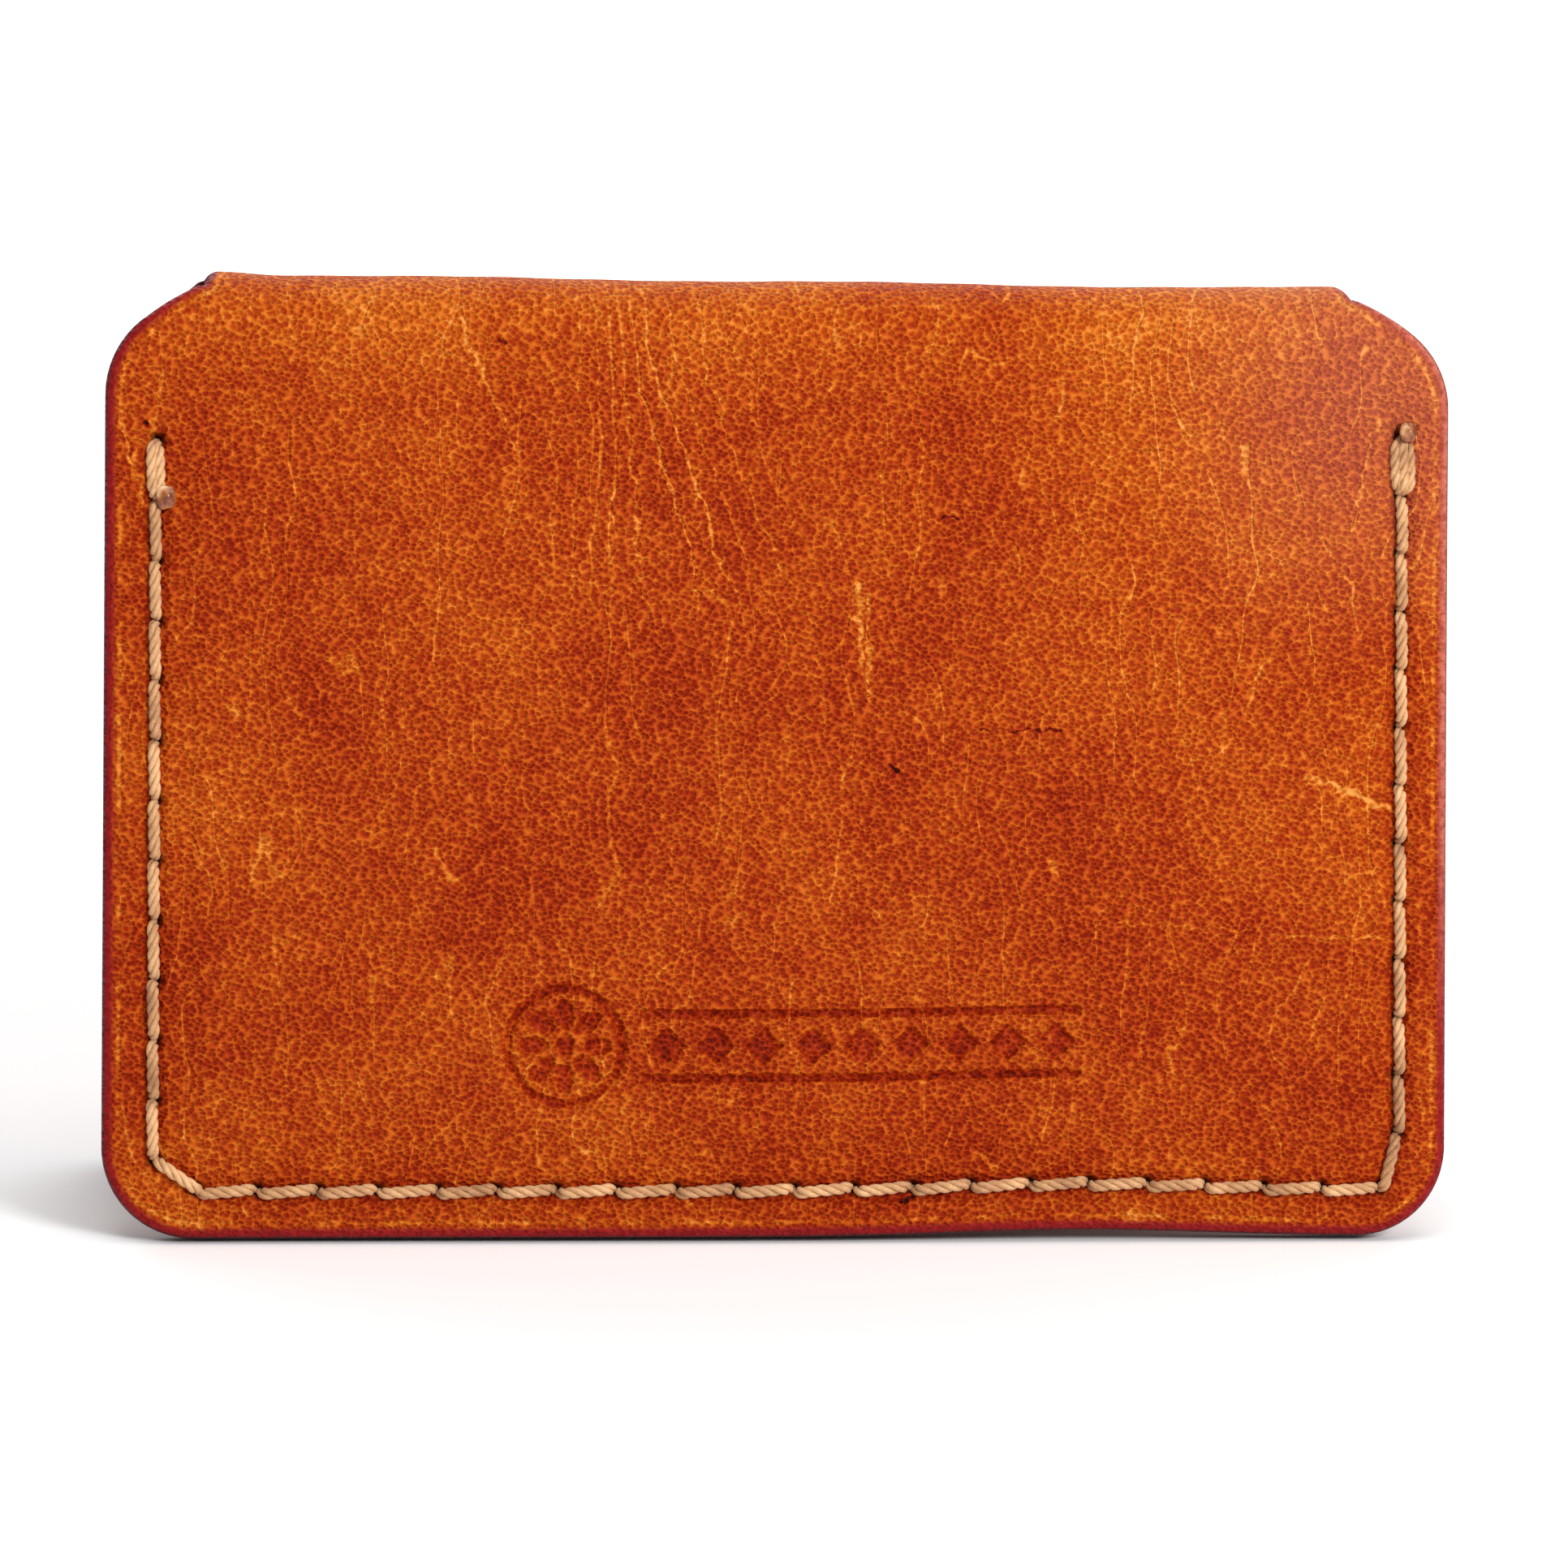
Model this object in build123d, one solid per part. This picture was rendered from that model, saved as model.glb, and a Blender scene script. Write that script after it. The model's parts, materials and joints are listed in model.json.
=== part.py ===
"""Folded leather card holder, standing as a tent on its two lower edges.

One cover of thick leather folds over the top. A pocket panel is cemented and saddle-stitched
inside each half, so the seam runs down one side, along the bottom and up the other. The fold is
a strip of bare leather. It bends evenly, so it is modelled as narrow strips with a hinge line
between each two. X runs along the fold, the stamped rear half faces -Y, and +Z is up.
"""

import math
import os

from build123d import *

# Whole object
WIDTH = 98.0
HEIGHT = 68.6
LEAN = 9.0
FOLD_HINGES = 3

# Sheet thicknesses
COVER_THICK = 1.6
POCKET_THICK = 1.2
CEMENT_THICK = 0.1

# Cut outline
BOTTOM_RADIUS = 6.7
SHOULDER_RADIUS = 7.0
WAIST_INSET = 7.8
FOOT_CUT = 0.3
BEND_GAP = 0.3

# Pocket: the slot is moulded for a bank card
CARD_WIDTH = 85.6
CARD_SIDE_ROOM = 0.7
SLOT_DEPTH = 1.0
FIELD_WALL = 0.9
FIELD_EDGE = 0.6
SLOT_CORNER = 3.2
SLOT_ABOVE_SEAM = 1.6
POCKET_HEIGHT = 56.0
NOTCH_WIDTH = 20.0
NOTCH_DEPTH = 8.0
CLOSED_GAP = 0.3

# Saddle-stitched seam, hand-punched, so its two sides differ a little
THREAD_RADIUS = 0.45
STITCH_RADIUS = 0.42
HOLE_CLEARANCE = 0.05
SIDE_STITCHES = 12
BOTTOM_STITCHES = 20
SIDE_PITCH_LEFT = 4.30
SIDE_PITCH_RIGHT = 4.25
SEAM_INSET_LEFT = 3.65
SEAM_INSET_RIGHT = 3.55
SEAM_ABOVE_EDGE = 3.7
LAST_HOLE_LEFT = 6.2
LAST_HOLE_RIGHT = 8.0
CORNER_STEP_LEFT = 3.35
CORNER_STEP_RIGHT = 1.25
MOUTH_TURNS_LEFT = 2
MOUTH_TURNS_RIGHT = 3
MOUTH_TURN_STEP = 0.6
END_BEAD_RADIUS = 0.7

# Blind-stamped ornament on the rear cover: a ringed rosette and a ruled band of diamonds
STAMP_DEPTH = 0.3
STAMP_ABOVE_EDGE = 14.2
ROSETTE_X = -15.8
ROSETTE_RADIUS = 4.4
ROSETTE_PETALS = 8
PETAL_RADIUS = 0.6
BAND_X = 5.8
BAND_LENGTH = 32.0
BAND_HEIGHT = 5.2
BAND_DIAMONDS = 9
DIAMOND_SIDE = 1.9
RULE_WIDTH = 0.5

# Worked out from the sizes above
lean = math.radians(LEAN)
bend_turn = math.radians(180 - 2 * LEAN) / FOLD_HINGES
closed_turn = math.pi / FOLD_HINGES
closed_spacing = COVER_THICK + 2 * (SLOT_DEPTH + POCKET_THICK) + CLOSED_GAP
hinge_spacing = closed_spacing * math.tan(closed_turn / 2)
fold_radius = hinge_spacing / 2 / math.tan(bend_turn / 2)
hinge_radius = fold_radius / math.cos(bend_turn / 2)
outer_radius = fold_radius + COVER_THICK / 2
inner_radius = fold_radius - COVER_THICK / 2
# Each end face beside a hinge line swings by half the turn when the fold is flattened.
face_swing = (outer_radius - hinge_radius) * math.sin(bend_turn / 2)
end_gap = math.asin((BEND_GAP / 2 + face_swing) / math.cos(bend_turn / 2) / outer_radius)

fold_center_z = HEIGHT - outer_radius
panel_top_z = fold_center_z + fold_radius * math.sin(lean)
stack_inside = COVER_THICK / 2 + CEMENT_THICK + POCKET_THICK
panel_length = (panel_top_z + FOOT_CUT - stack_inside * math.sin(lean)) / math.cos(lean)
panel_frame = Plane(
    origin=(0, -fold_radius * math.cos(lean), panel_top_z),
    x_dir=(1, 0, 0),
    z_dir=(0, -math.cos(lean), math.sin(lean)),
)
inner_face = -COVER_THICK / 2
rim_back = inner_face - CEMENT_THICK
rim_front = rim_back - POCKET_THICK
slot_front = inner_face - SLOT_DEPTH
field_front = slot_front - POCKET_THICK
slot_width = CARD_WIDTH + 2 * CARD_SIDE_ROOM
field_width = slot_width + 2 * FIELD_WALL
slot_bottom = SEAM_ABOVE_EDGE + SLOT_ABOVE_SEAM - panel_length
mouth = POCKET_HEIGHT - panel_length
hole_radius = THREAD_RADIUS + HOLE_CLEARANCE
seam_left = SEAM_INSET_LEFT - WIDTH / 2
seam_right = WIDTH / 2 - SEAM_INSET_RIGHT
waist_width = WIDTH - 2 * WAIST_INSET
beyond = 2 * HEIGHT


def bend_point(radius, angle):
    """A point of the fold in a panel's own Y and Z, its angle measured from the panel's end."""
    return (radius * math.sin(angle), radius * math.cos(angle) - fold_radius)


def bend(start, end, width):
    """A stretch of the folded strip between two angles, in the panel's own frame."""
    middle = (start + end) / 2
    outside = ThreePointArc(*[bend_point(outer_radius, a) for a in (start, middle, end)])
    inside = ThreePointArc(*[bend_point(inner_radius, a) for a in (start, middle, end)])
    sides = [Line(inside @ 0, outside @ 0), Line(inside @ 1, outside @ 1)]
    section = make_face([outside, inside, *sides])
    return extrude(Plane.YZ * section, amount=width / 2, both=True)


def panel_outline(top):
    """The outline of one half of the cover, up to a given height, with its lower corners round."""
    shape = Pos(0, (top - panel_length) / 2) * Rectangle(WIDTH, top + panel_length)
    return fillet(shape.vertices().group_by(Axis.Y)[0], BOTTOM_RADIUS)


def block(sketch, low, high):
    """A plate with the outline of a sketch between two depths of the panel's own Z."""
    return extrude(Pos(0, 0, low) * sketch, amount=high - low)


def seam_holes():
    """The middles of the stitch holes, down the left side, along the bottom, up the right."""
    left_end = LAST_HOLE_LEFT - panel_length
    right_end = LAST_HOLE_RIGHT - panel_length
    bottom = SEAM_ABOVE_EDGE - panel_length
    bottom_start = seam_left + CORNER_STEP_LEFT
    bottom_pitch = (seam_right - CORNER_STEP_RIGHT - bottom_start) / BOTTOM_STITCHES
    holes = []
    for index in range(SIDE_STITCHES, -1, -1):
        holes.append((seam_left, left_end + index * SIDE_PITCH_LEFT))
    for index in range(BOTTOM_STITCHES + 1):
        holes.append((bottom_start + index * bottom_pitch, bottom))
    for index in range(SIDE_STITCHES + 1):
        holes.append((seam_right, right_end + index * SIDE_PITCH_RIGHT))
    return holes


def seam_drill(low, high):
    """Round holes for the thread through everything between two depths."""
    circles = Sketch() + [Pos(x, y) * Circle(hole_radius) for x, y in seam_holes()]
    return block(circles, low, high)


def ornament():
    """The stamped grooves, as the solid that the stamp sinks into the outer face."""
    y = STAMP_ABOVE_EDGE - panel_length
    marks = Sketch()
    for radius in (ROSETTE_RADIUS, ROSETTE_RADIUS - 3 * RULE_WIDTH):
        marks += Pos(ROSETTE_X, y) * (Circle(radius) - Circle(radius - RULE_WIDTH))
    for spot in PolarLocations(ROSETTE_RADIUS / 3, ROSETTE_PETALS):
        marks += Pos(ROSETTE_X, y) * spot * Circle(PETAL_RADIUS / 2)
    for side in (-1, 1):
        rule_y = y + side * (BAND_HEIGHT - RULE_WIDTH) / 2
        marks += Pos(BAND_X, rule_y) * Rectangle(BAND_LENGTH, RULE_WIDTH)
    for spot in GridLocations(BAND_LENGTH / BAND_DIAMONDS, 1, BAND_DIAMONDS, 1):
        marks += Pos(BAND_X, y) * spot * Rot(0, 0, 45) * Rectangle(DIAMOND_SIDE, DIAMOND_SIDE)
    outer_face = COVER_THICK / 2
    return block(marks, outer_face - STAMP_DEPTH, outer_face + STAMP_DEPTH)


def cover(stamped):
    """Half of the cover, as far as the first hinge line of the fold."""
    lip_end = bend_turn / 2 - end_gap
    sheet = block(panel_outline(0), inner_face, COVER_THICK / 2) + bend(0, lip_end, WIDTH)
    top = bend_point(outer_radius, lip_end)[0]
    outline = Pos(0, (top - panel_length) / 2) * Rectangle(WIDTH, top + panel_length)
    outline = fillet(outline.vertices().group_by(Axis.Y)[0], BOTTOM_RADIUS)
    outline = fillet(outline.vertices().group_by(Axis.Y)[-1], SHOULDER_RADIUS)
    sheet = sheet & block(outline, -outer_radius, outer_radius)
    sheet -= seam_drill(inner_face, COVER_THICK / 2)
    if stamped:
        sheet -= ornament()
    return sheet


def card_slot(width, bottom, corner):
    """The outline of a card's space, open at the pocket's mouth."""
    space = Pos(0, (mouth + bottom) / 2) * Rectangle(width, mouth - bottom)
    return fillet(space.vertices().group_by(Axis.Y)[0], corner)


def pocket():
    """The inside panel: a flat rim under the seam, and a field raised to hold cards."""
    field = card_slot(field_width, slot_bottom - FIELD_WALL, SLOT_CORNER + FIELD_WALL)
    raised = block(field, field_front, rim_back)
    edge = raised.faces().sort_by(Axis.Z)[0].edges()
    away_from_mouth = [e for e in edge if (e @ 0.5).Y < mouth - FIELD_EDGE / 2]
    raised = chamfer(away_from_mouth, FIELD_EDGE)
    panel = block(panel_outline(mouth), rim_front, rim_back) + raised
    slot = card_slot(slot_width, slot_bottom, SLOT_CORNER)
    panel -= block(slot, slot_front, 0)
    notch = Pos(0, mouth) * Ellipse(NOTCH_WIDTH / 2, NOTCH_DEPTH)
    panel -= block(notch, field_front - 1, 0)
    return panel - seam_drill(rim_front, rim_back)


def cement():
    """The film of cement between the cover and the pocket's rim."""
    rim = panel_outline(mouth) - card_slot(field_width, slot_bottom - FIELD_WALL, SLOT_CORNER)
    return block(rim, rim_back, inner_face) - seam_drill(rim_back, inner_face)


def stitch(start, end, face, outward, offset=0.0):
    """One stitch on a face: half a round bar between two pins, a step aside if it is doubled."""
    length = math.dist(start, end) - THREAD_RADIUS
    turn = math.degrees(math.atan2(end[1] - start[1], end[0] - start[0]))
    bar = Rot(0, 90, 0) * Cylinder(STITCH_RADIUS, length)
    above = Pos(0, 0, outward * STITCH_RADIUS / 2)
    bar &= above * Box(length, 2 * STITCH_RADIUS, STITCH_RADIUS)
    middle = ((start[0] + end[0]) / 2, (start[1] + end[1]) / 2, face)
    return Pos(*middle) * Rot(0, 0, turn) * Pos(0, offset, 0) * bar


def pin(spot, low, high):
    """The thread inside a hole, standing out of both faces as far as a stitch does."""
    length = high - low + 2 * THREAD_RADIUS
    return Pos(*spot, (low + high) / 2) * Cylinder(THREAD_RADIUS, length)


def over_mouth(cover_hole, rim_hole):
    """The inside stitch that steps from the cover over the pocket's mouth on to its rim."""
    step = (rim_hole[0], mouth + hole_radius)
    step_top = inner_face - THREAD_RADIUS
    on_cover = stitch(cover_hole, step, inner_face, -1)
    return [on_cover, pin(step, rim_front, step_top), stitch(step, rim_hole, rim_front, -1)]


def thread():
    """The whole thread of one half: pins through the holes, stitches on both faces."""
    holes = seam_holes()
    outer_face = COVER_THICK / 2
    last = len(holes) - 1
    pieces = [pin(spot, rim_front, outer_face) for spot in holes[1:last]]
    pieces += [pin(holes[0], inner_face, outer_face), pin(holes[last], inner_face, outer_face)]
    pieces += over_mouth(holes[0], holes[1])
    pieces += over_mouth(holes[last], holes[last - 1])
    for index in range(last):
        ends = (holes[index], holes[index + 1])
        turns = {0: MOUTH_TURNS_LEFT, last - 1: MOUTH_TURNS_RIGHT}.get(index, 1)
        for turn in range(turns):
            aside = (turn - (turns - 1) / 2) * MOUTH_TURN_STEP
            pieces.append(stitch(*ends, outer_face, 1, aside))
        if 0 < index < last - 1:
            pieces.append(stitch(*ends, rim_front, -1))
    for spot in (holes[1], holes[last]):
        bead = Pos(*spot, outer_face) * Sphere(END_BEAD_RADIUS)
        pieces.append(bead & Pos(*spot, outer_face + WIDTH / 2) * Box(WIDTH, WIDTH, WIDTH))
    return pieces[0] + pieces[1:]


def standing(shape):
    """A panel piece put in its place and cut off flat at the ground."""
    placed = panel_frame.location * shape
    return placed - Pos(0, 0, -beyond / 2) * Box(beyond, beyond, beyond)


def write(name, shape):
    """Write one named piece."""
    shape.label = name
    export_step(shape, os.path.join("parts", name + ".step"))


def main():
    os.makedirs("parts", exist_ok=True)
    halves = {
        "rear": {"cover": cover(True)},
        "front": {"cover": cover(False)},
    }
    for pieces in halves.values():
        pieces["pocket"] = pocket()
        pieces["cement"] = cement()
        pieces["thread"] = thread()
    for side, pieces in halves.items():
        for kind, piece in pieces.items():
            placed = standing(piece)
            if side == "front":
                placed = mirror(placed, about=Plane.XZ)
            write(f"{kind}_{side}", placed)
    for index in range(FOLD_HINGES - 1):
        start = (index + 0.5) * bend_turn + end_gap
        end = (index + 1.5) * bend_turn - end_gap
        write(f"fold_strip_{index + 1}", panel_frame.location * bend(start, end, waist_width))
    print("fold radius", round(fold_radius, 3), "panel length", round(panel_length, 3))
    print("hinge radius", round(hinge_radius, 3), "end gap", round(math.degrees(end_gap), 2))


main()
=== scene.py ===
"""A bifold card holder of thick pull-up leather, saddle-stitched by hand, standing open on its long edges like a
tent. Each half is a cover with a card pocket cemented and sewn inside it, and the two covers are one hide that bends
over the top. Every soft piece is modelled flat, as the hide lay on the bench, and then laid over the fold."""
import json
import math

import bpy
import numpy as np
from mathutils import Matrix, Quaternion, Vector
from mathutils.kdtree import KDTree


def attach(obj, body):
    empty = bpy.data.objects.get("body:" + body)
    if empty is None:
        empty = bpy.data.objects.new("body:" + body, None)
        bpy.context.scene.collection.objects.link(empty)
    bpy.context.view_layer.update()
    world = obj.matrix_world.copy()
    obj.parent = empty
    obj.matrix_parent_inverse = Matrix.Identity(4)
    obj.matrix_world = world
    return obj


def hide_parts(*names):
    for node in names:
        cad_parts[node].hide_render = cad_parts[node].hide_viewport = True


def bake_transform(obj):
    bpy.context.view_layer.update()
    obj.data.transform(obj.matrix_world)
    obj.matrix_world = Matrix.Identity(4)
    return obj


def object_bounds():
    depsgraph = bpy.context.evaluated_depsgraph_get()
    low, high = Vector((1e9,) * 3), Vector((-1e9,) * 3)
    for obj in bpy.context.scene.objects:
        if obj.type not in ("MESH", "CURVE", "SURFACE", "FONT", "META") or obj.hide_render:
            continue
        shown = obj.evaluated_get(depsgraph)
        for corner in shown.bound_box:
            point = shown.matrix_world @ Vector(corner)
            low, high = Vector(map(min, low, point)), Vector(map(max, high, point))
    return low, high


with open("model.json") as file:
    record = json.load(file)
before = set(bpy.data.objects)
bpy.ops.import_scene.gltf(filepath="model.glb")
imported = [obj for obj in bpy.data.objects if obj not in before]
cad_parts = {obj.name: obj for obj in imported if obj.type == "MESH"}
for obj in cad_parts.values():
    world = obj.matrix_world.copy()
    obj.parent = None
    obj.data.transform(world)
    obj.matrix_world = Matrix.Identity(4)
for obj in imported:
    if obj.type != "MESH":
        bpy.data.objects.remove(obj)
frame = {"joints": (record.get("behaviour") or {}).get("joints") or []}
cad_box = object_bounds()
MM = 0.001

# ---------------------------------------------------------------- sizes, in mm
# Not as in the CAD: the card space (1.0 there), the corners (6.7 and 7.0 there) and the neck (41.2 there)
HALF_WIDTH = 49.0
COVER_THICK = 1.6
POCKET_THICK = 1.2
CEMENT_THICK = 0.1
SLOT_DEPTH = 0.6
FOOT_CUT = 0.3
POCKET_HEIGHT = 56.0
NOTCH_HALF_WIDTH = 10.0
NOTCH_DEPTH = 8.0
CORNER_RADIUS = 6.6
NECK_SLOPE = 0.8
NECK_FILL = 1.3
SHOULDER_LINE = 3.1
SEAM_LEFT, SEAM_RIGHT, SEAM_BOTTOM = -45.35, 45.45, 3.7
LEFT_LOW, RIGHT_LOW = 6.2, 8.0
LEFT_PITCH, RIGHT_PITCH = 4.30, 4.25
SIDE_STITCHES, BOTTOM_STITCHES = 12, 20
BOTTOM_FROM, BOTTOM_TO = -42.0, 44.2
STAMP_ABOVE_EDGE = 14.2
ROSETTE_X, ROSETTE_RADIUS, ROSETTE_PETALS, PETAL_RADIUS = -15.8, 4.4, 8, 0.6
BAND_X, BAND_LENGTH, BAND_HEIGHT, BAND_DIAMONDS, DIAMOND_SIDE = 5.8, 32.0, 5.2, 9, 1.9
RULE_WIDTH = 0.5
CEMENT_BAND = 4.4
CEMENT_CLEAR = 0.002
CEMENT_INSET = 0.10
# The pockets are cut from another part of the hide, this far across it
POCKET_SHIFT = 130.0
SMOOTH_ANGLE = math.radians(50)

# The fold, from the three hinges that the CAD bends it at
hinges = [Vector(joint["pos_m"]) / MM for joint in frame["joints"]]
hinge_turn = math.radians(frame["joints"][0]["range_deg"][1])
hinge_radius = -hinges[0].y / math.sin(hinge_turn)
fold_radius = hinge_radius * math.cos(hinge_turn / 2)
fold_z = hinges[1].z - hinge_radius
lean = (math.pi - 3 * hinge_turn) / 2
quarter = math.pi / 2 - lean
arc_length = fold_radius * quarter
middle_half = fold_radius * hinge_turn / 2
panel_top_z = fold_z + fold_radius * math.sin(lean)
stack = COVER_THICK / 2 + CEMENT_THICK + POCKET_THICK
panel_length = (panel_top_z + FOOT_CUT - stack * math.sin(lean)) / math.cos(lean)
hide_length = arc_length + panel_length


def smooth(value, low, high):
    """0 below low, 1 above high, and an even rise between."""
    t = np.clip((value - low) / (high - low), 0, 1)
    return t * t * (3 - 2 * t)


def hump(value, middle, width):
    """A soft bump of height 1."""
    return np.exp(-(((value - middle) / width) ** 2))


def settle(x, v):
    """How far the worn leather has dropped or lifted from true, up the hide, in mm."""
    down = np.abs(v) / hide_length
    ends = 0.18 * smooth(np.abs(x), 35.5, 41.0) * (1 - smooth(np.abs(v), 2.0, 9.0))
    rear = np.where(v < 0, 1.0, 0.6)
    shoulders = np.where(v > 0, 0.75, 0.0) * smooth(np.abs(x), 41.8, 44.0)
    ends = ends - shoulders * (1 - smooth(np.abs(v), 14.0, 26.0))
    lift = 0.50 * hump(x, 22.0, 13.0) * smooth(down, 0.35, 1.0) * rear
    return ends, lift


def bow(x, v):
    """How far a half stands out of its own flat plane, in mm."""
    down = np.abs(v) / hide_length
    arch = np.sin(np.clip(down, 0, 1) * math.pi)
    return 0.22 * arch * np.cos(x / 31.0 + 0.4) + 0.10 * np.sin(x / 17.0 + 1.1) * smooth(down, 0.05, 0.3)


def lay(x, v, n):
    """Flat hide to place: x across, v up the hide from the crown of the fold (rear below 0), n out of the leather."""
    x, v, n = (np.asarray(a, float) for a in (x, v, n))
    side = np.where(v < 0, -1.0, 1.0)
    s = np.abs(v)
    angle = np.minimum(s, arc_length) / fold_radius
    out = n + np.where(s > arc_length, bow(x, v) * smooth(s, arc_length, arc_length + 12.0), 0.0)
    run = np.maximum(s - arc_length, 0.0)
    ends, lift = settle(x, v)
    y = (fold_radius + out) * np.sin(angle) + run * math.sin(lean)
    z = fold_z + (fold_radius + out) * np.cos(angle) - run * math.cos(lean)
    y = y - lift * math.sin(lean)
    z = z + lift * math.cos(lean) + ends
    return np.stack([x, side * y, z], axis=-1) * MM


# ---------------------------------------------------------------- flat work
FINE_EDGE = [0.0, 0.08, 0.2, 0.36, 0.56, 0.8, 1.1]


def spread(low, high, step):
    """Even grid lines from low to high."""
    return list(np.linspace(low, high, max(1, round((high - low) / step)) + 1))


def edge_lines(width, step):
    """Grid lines from a cut edge inwards, close together where the edge is rounded over."""
    return FINE_EDGE + spread(FINE_EDGE[-1], width, step)[1:]


def across(step):
    """The grid's lines across the hide, from the left edge to the right."""
    block = HALF_WIDTH - CORNER_RADIUS
    outer = [HALF_WIDTH - a for a in edge_lines(CORNER_RADIUS, step)]
    inner = [block - a for a in FINE_EDGE[1:]]
    half = outer + inner
    middle = spread(-half[-1], half[-1], step)[1:-1]
    return [-a for a in half] + middle + half[::-1]


def select_only(piece):
    """Makes one piece the selected and active one."""
    bpy.ops.object.select_all(action="DESELECT")
    piece.select_set(True)
    bpy.context.view_layer.objects.active = piece


def read(piece):
    """The vertices of a piece, as rows."""
    flat = np.zeros(len(piece.data.vertices) * 3)
    piece.data.vertices.foreach_get("co", flat)
    return flat.reshape(-1, 3)


def write(piece, points):
    """Puts the vertices of a piece where the rows say."""
    piece.data.vertices.foreach_set("co", np.ascontiguousarray(points, float).ravel())
    piece.data.update()


def face_middles(piece):
    """The middle of each face of a piece, as rows."""
    flat = np.zeros(len(piece.data.polygons) * 3)
    piece.data.polygons.foreach_get("center", flat)
    return flat.reshape(-1, 3)


def pick_faces(piece, wanted):
    """Selects the faces that wanted marks, and opens the piece in edit mode with them."""
    select_only(piece)
    mesh = piece.data
    mesh.vertices.foreach_set("select", np.zeros(len(mesh.vertices), bool))
    mesh.edges.foreach_set("select", np.zeros(len(mesh.edges), bool))
    mesh.polygons.foreach_set("select", np.asarray(wanted, bool))
    mesh.update()
    bpy.ops.object.mode_set(mode="EDIT")
    bpy.ops.mesh.select_mode(type="FACE")


def bench_sheet(name, x_lines, v_lines):
    """A flat sheet on the bench, one mesh row to each grid line."""
    bpy.ops.object.select_all(action="DESELECT")
    bpy.ops.mesh.primitive_grid_add(
        x_subdivisions=len(x_lines) - 1, y_subdivisions=len(v_lines) - 1, size=1, location=(0, 0, 0)
    )
    sheet = bpy.context.object
    sheet.name = name
    sheet.data.name = name
    points = read(sheet)
    columns = np.rint((points[:, 0] + 0.5) * (len(x_lines) - 1)).astype(int)
    rows = np.rint((points[:, 1] + 0.5) * (len(v_lines) - 1)).astype(int)
    points[:, 0] = np.asarray(x_lines)[columns]
    points[:, 1] = np.asarray(v_lines)[rows]
    write(sheet, points)
    return sheet


def delete_faces(piece, unwanted):
    """Cuts away the marked faces, with the loose edges they leave."""
    pick_faces(piece, unwanted)
    bpy.ops.mesh.delete(type="FACE")
    bpy.ops.object.mode_set(mode="OBJECT")


def subdivide_faces(piece, wanted, cuts):
    """Divides the marked faces for finer relief."""
    pick_faces(piece, wanted)
    bpy.ops.mesh.subdivide(number_cuts=cuts)
    bpy.ops.object.mode_set(mode="OBJECT")


def round_block(a, b):
    """A square block's place in a quarter disc, so that rings of the grid stay parallel to the cut edge."""
    reach = np.maximum(a, b)
    safe = np.where(reach > 0, reach, 1.0)
    angle = np.where(a >= b, b / safe, 2 - a / safe) * math.pi / 4
    return reach * np.cos(angle), reach * np.sin(angle)


def trim_outline(points):
    """Rounds a sheet's corners and narrows its neck at the fold to the hide's cut outline."""
    x, v = points[:, 0], points[:, 1]
    s = np.abs(v)
    away = np.sign(x)
    width = np.abs(x)
    block = HALF_WIDTH - CORNER_RADIUS
    foot = hide_length - FOOT_CUT - CORNER_RADIUS
    shoulder = SHOULDER_LINE + CORNER_RADIUS
    beside = width > block
    new_width, new_s = width.copy(), s.copy()
    for inside, outward in ((foot, 1.0), (shoulder, -1.0)):
        past = (s - inside) * outward
        here = beside & (past > 0) & (s >= SHOULDER_LINE - 1e-6)
        a, b = round_block((width[here] - block) / CORNER_RADIUS, past[here] / CORNER_RADIUS)
        new_width[here] = block + a * CORNER_RADIUS
        new_s[here] = inside + outward * b * CORNER_RADIUS
    neck = s < SHOULDER_LINE - 1e-4
    half = block - NECK_SLOPE * (1 - s / SHOULDER_LINE)
    soft_from = block - 5.0
    squeezed = soft_from + (width - soft_from) * (half - soft_from) / (block - soft_from)
    new_width = np.where(neck & (width > soft_from), squeezed, new_width)
    # Where the neck meets the shoulder the knife went round the corner in one sweep
    out = np.clip((new_width - block) / 3.8, 0, 1)
    fill = NECK_FILL * (1 - out) ** 1.8 * smooth(new_width, 39.0, block)
    reach = smooth(new_s, middle_half, SHOULDER_LINE) * (1 - smooth(new_s, SHOULDER_LINE + 0.4, 8.0))
    new_s = new_s - fill * reach
    points[:, 0] = away * new_width
    points[:, 1] = np.where(v < 0, -new_s, new_s)
    return points


def outline_of(piece, keep):
    """Close-set points along the free edges of a flat piece, those that keep allows."""
    mesh = piece.data
    points = read(piece)
    uses = np.zeros(len(mesh.edges), int)
    loop_edges = np.zeros(len(mesh.loops), int)
    mesh.loops.foreach_get("edge_index", loop_edges)
    np.add.at(uses, loop_edges, 1)
    ends = np.zeros(len(mesh.edges) * 2, int)
    mesh.edges.foreach_get("vertices", ends)
    ends = ends.reshape(-1, 2)[uses == 1]
    share = np.linspace(0, 1, 13)[None, :, None]
    run = points[ends[:, 0]][:, None, :] * (1 - share) + points[ends[:, 1]][:, None, :] * share
    run = run.reshape(-1, 3)
    return run[keep(run[:, 0], run[:, 1])]


def distance_to(points, targets):
    """How far each point lies from the nearest target, on the flat."""
    tree = KDTree(len(targets))
    for index, target in enumerate(targets):
        tree.insert((target[0], target[1], 0.0), index)
    tree.balance()
    return np.array([tree.find((p[0], p[1], 0.0))[2] for p in points])


def rolled(distance, radius):
    """How far a face drops towards a rounded-over cut edge."""
    inside = np.clip(radius - distance, 0, radius)
    return radius - np.sqrt(np.maximum(radius ** 2 - inside ** 2, 0))


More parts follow.
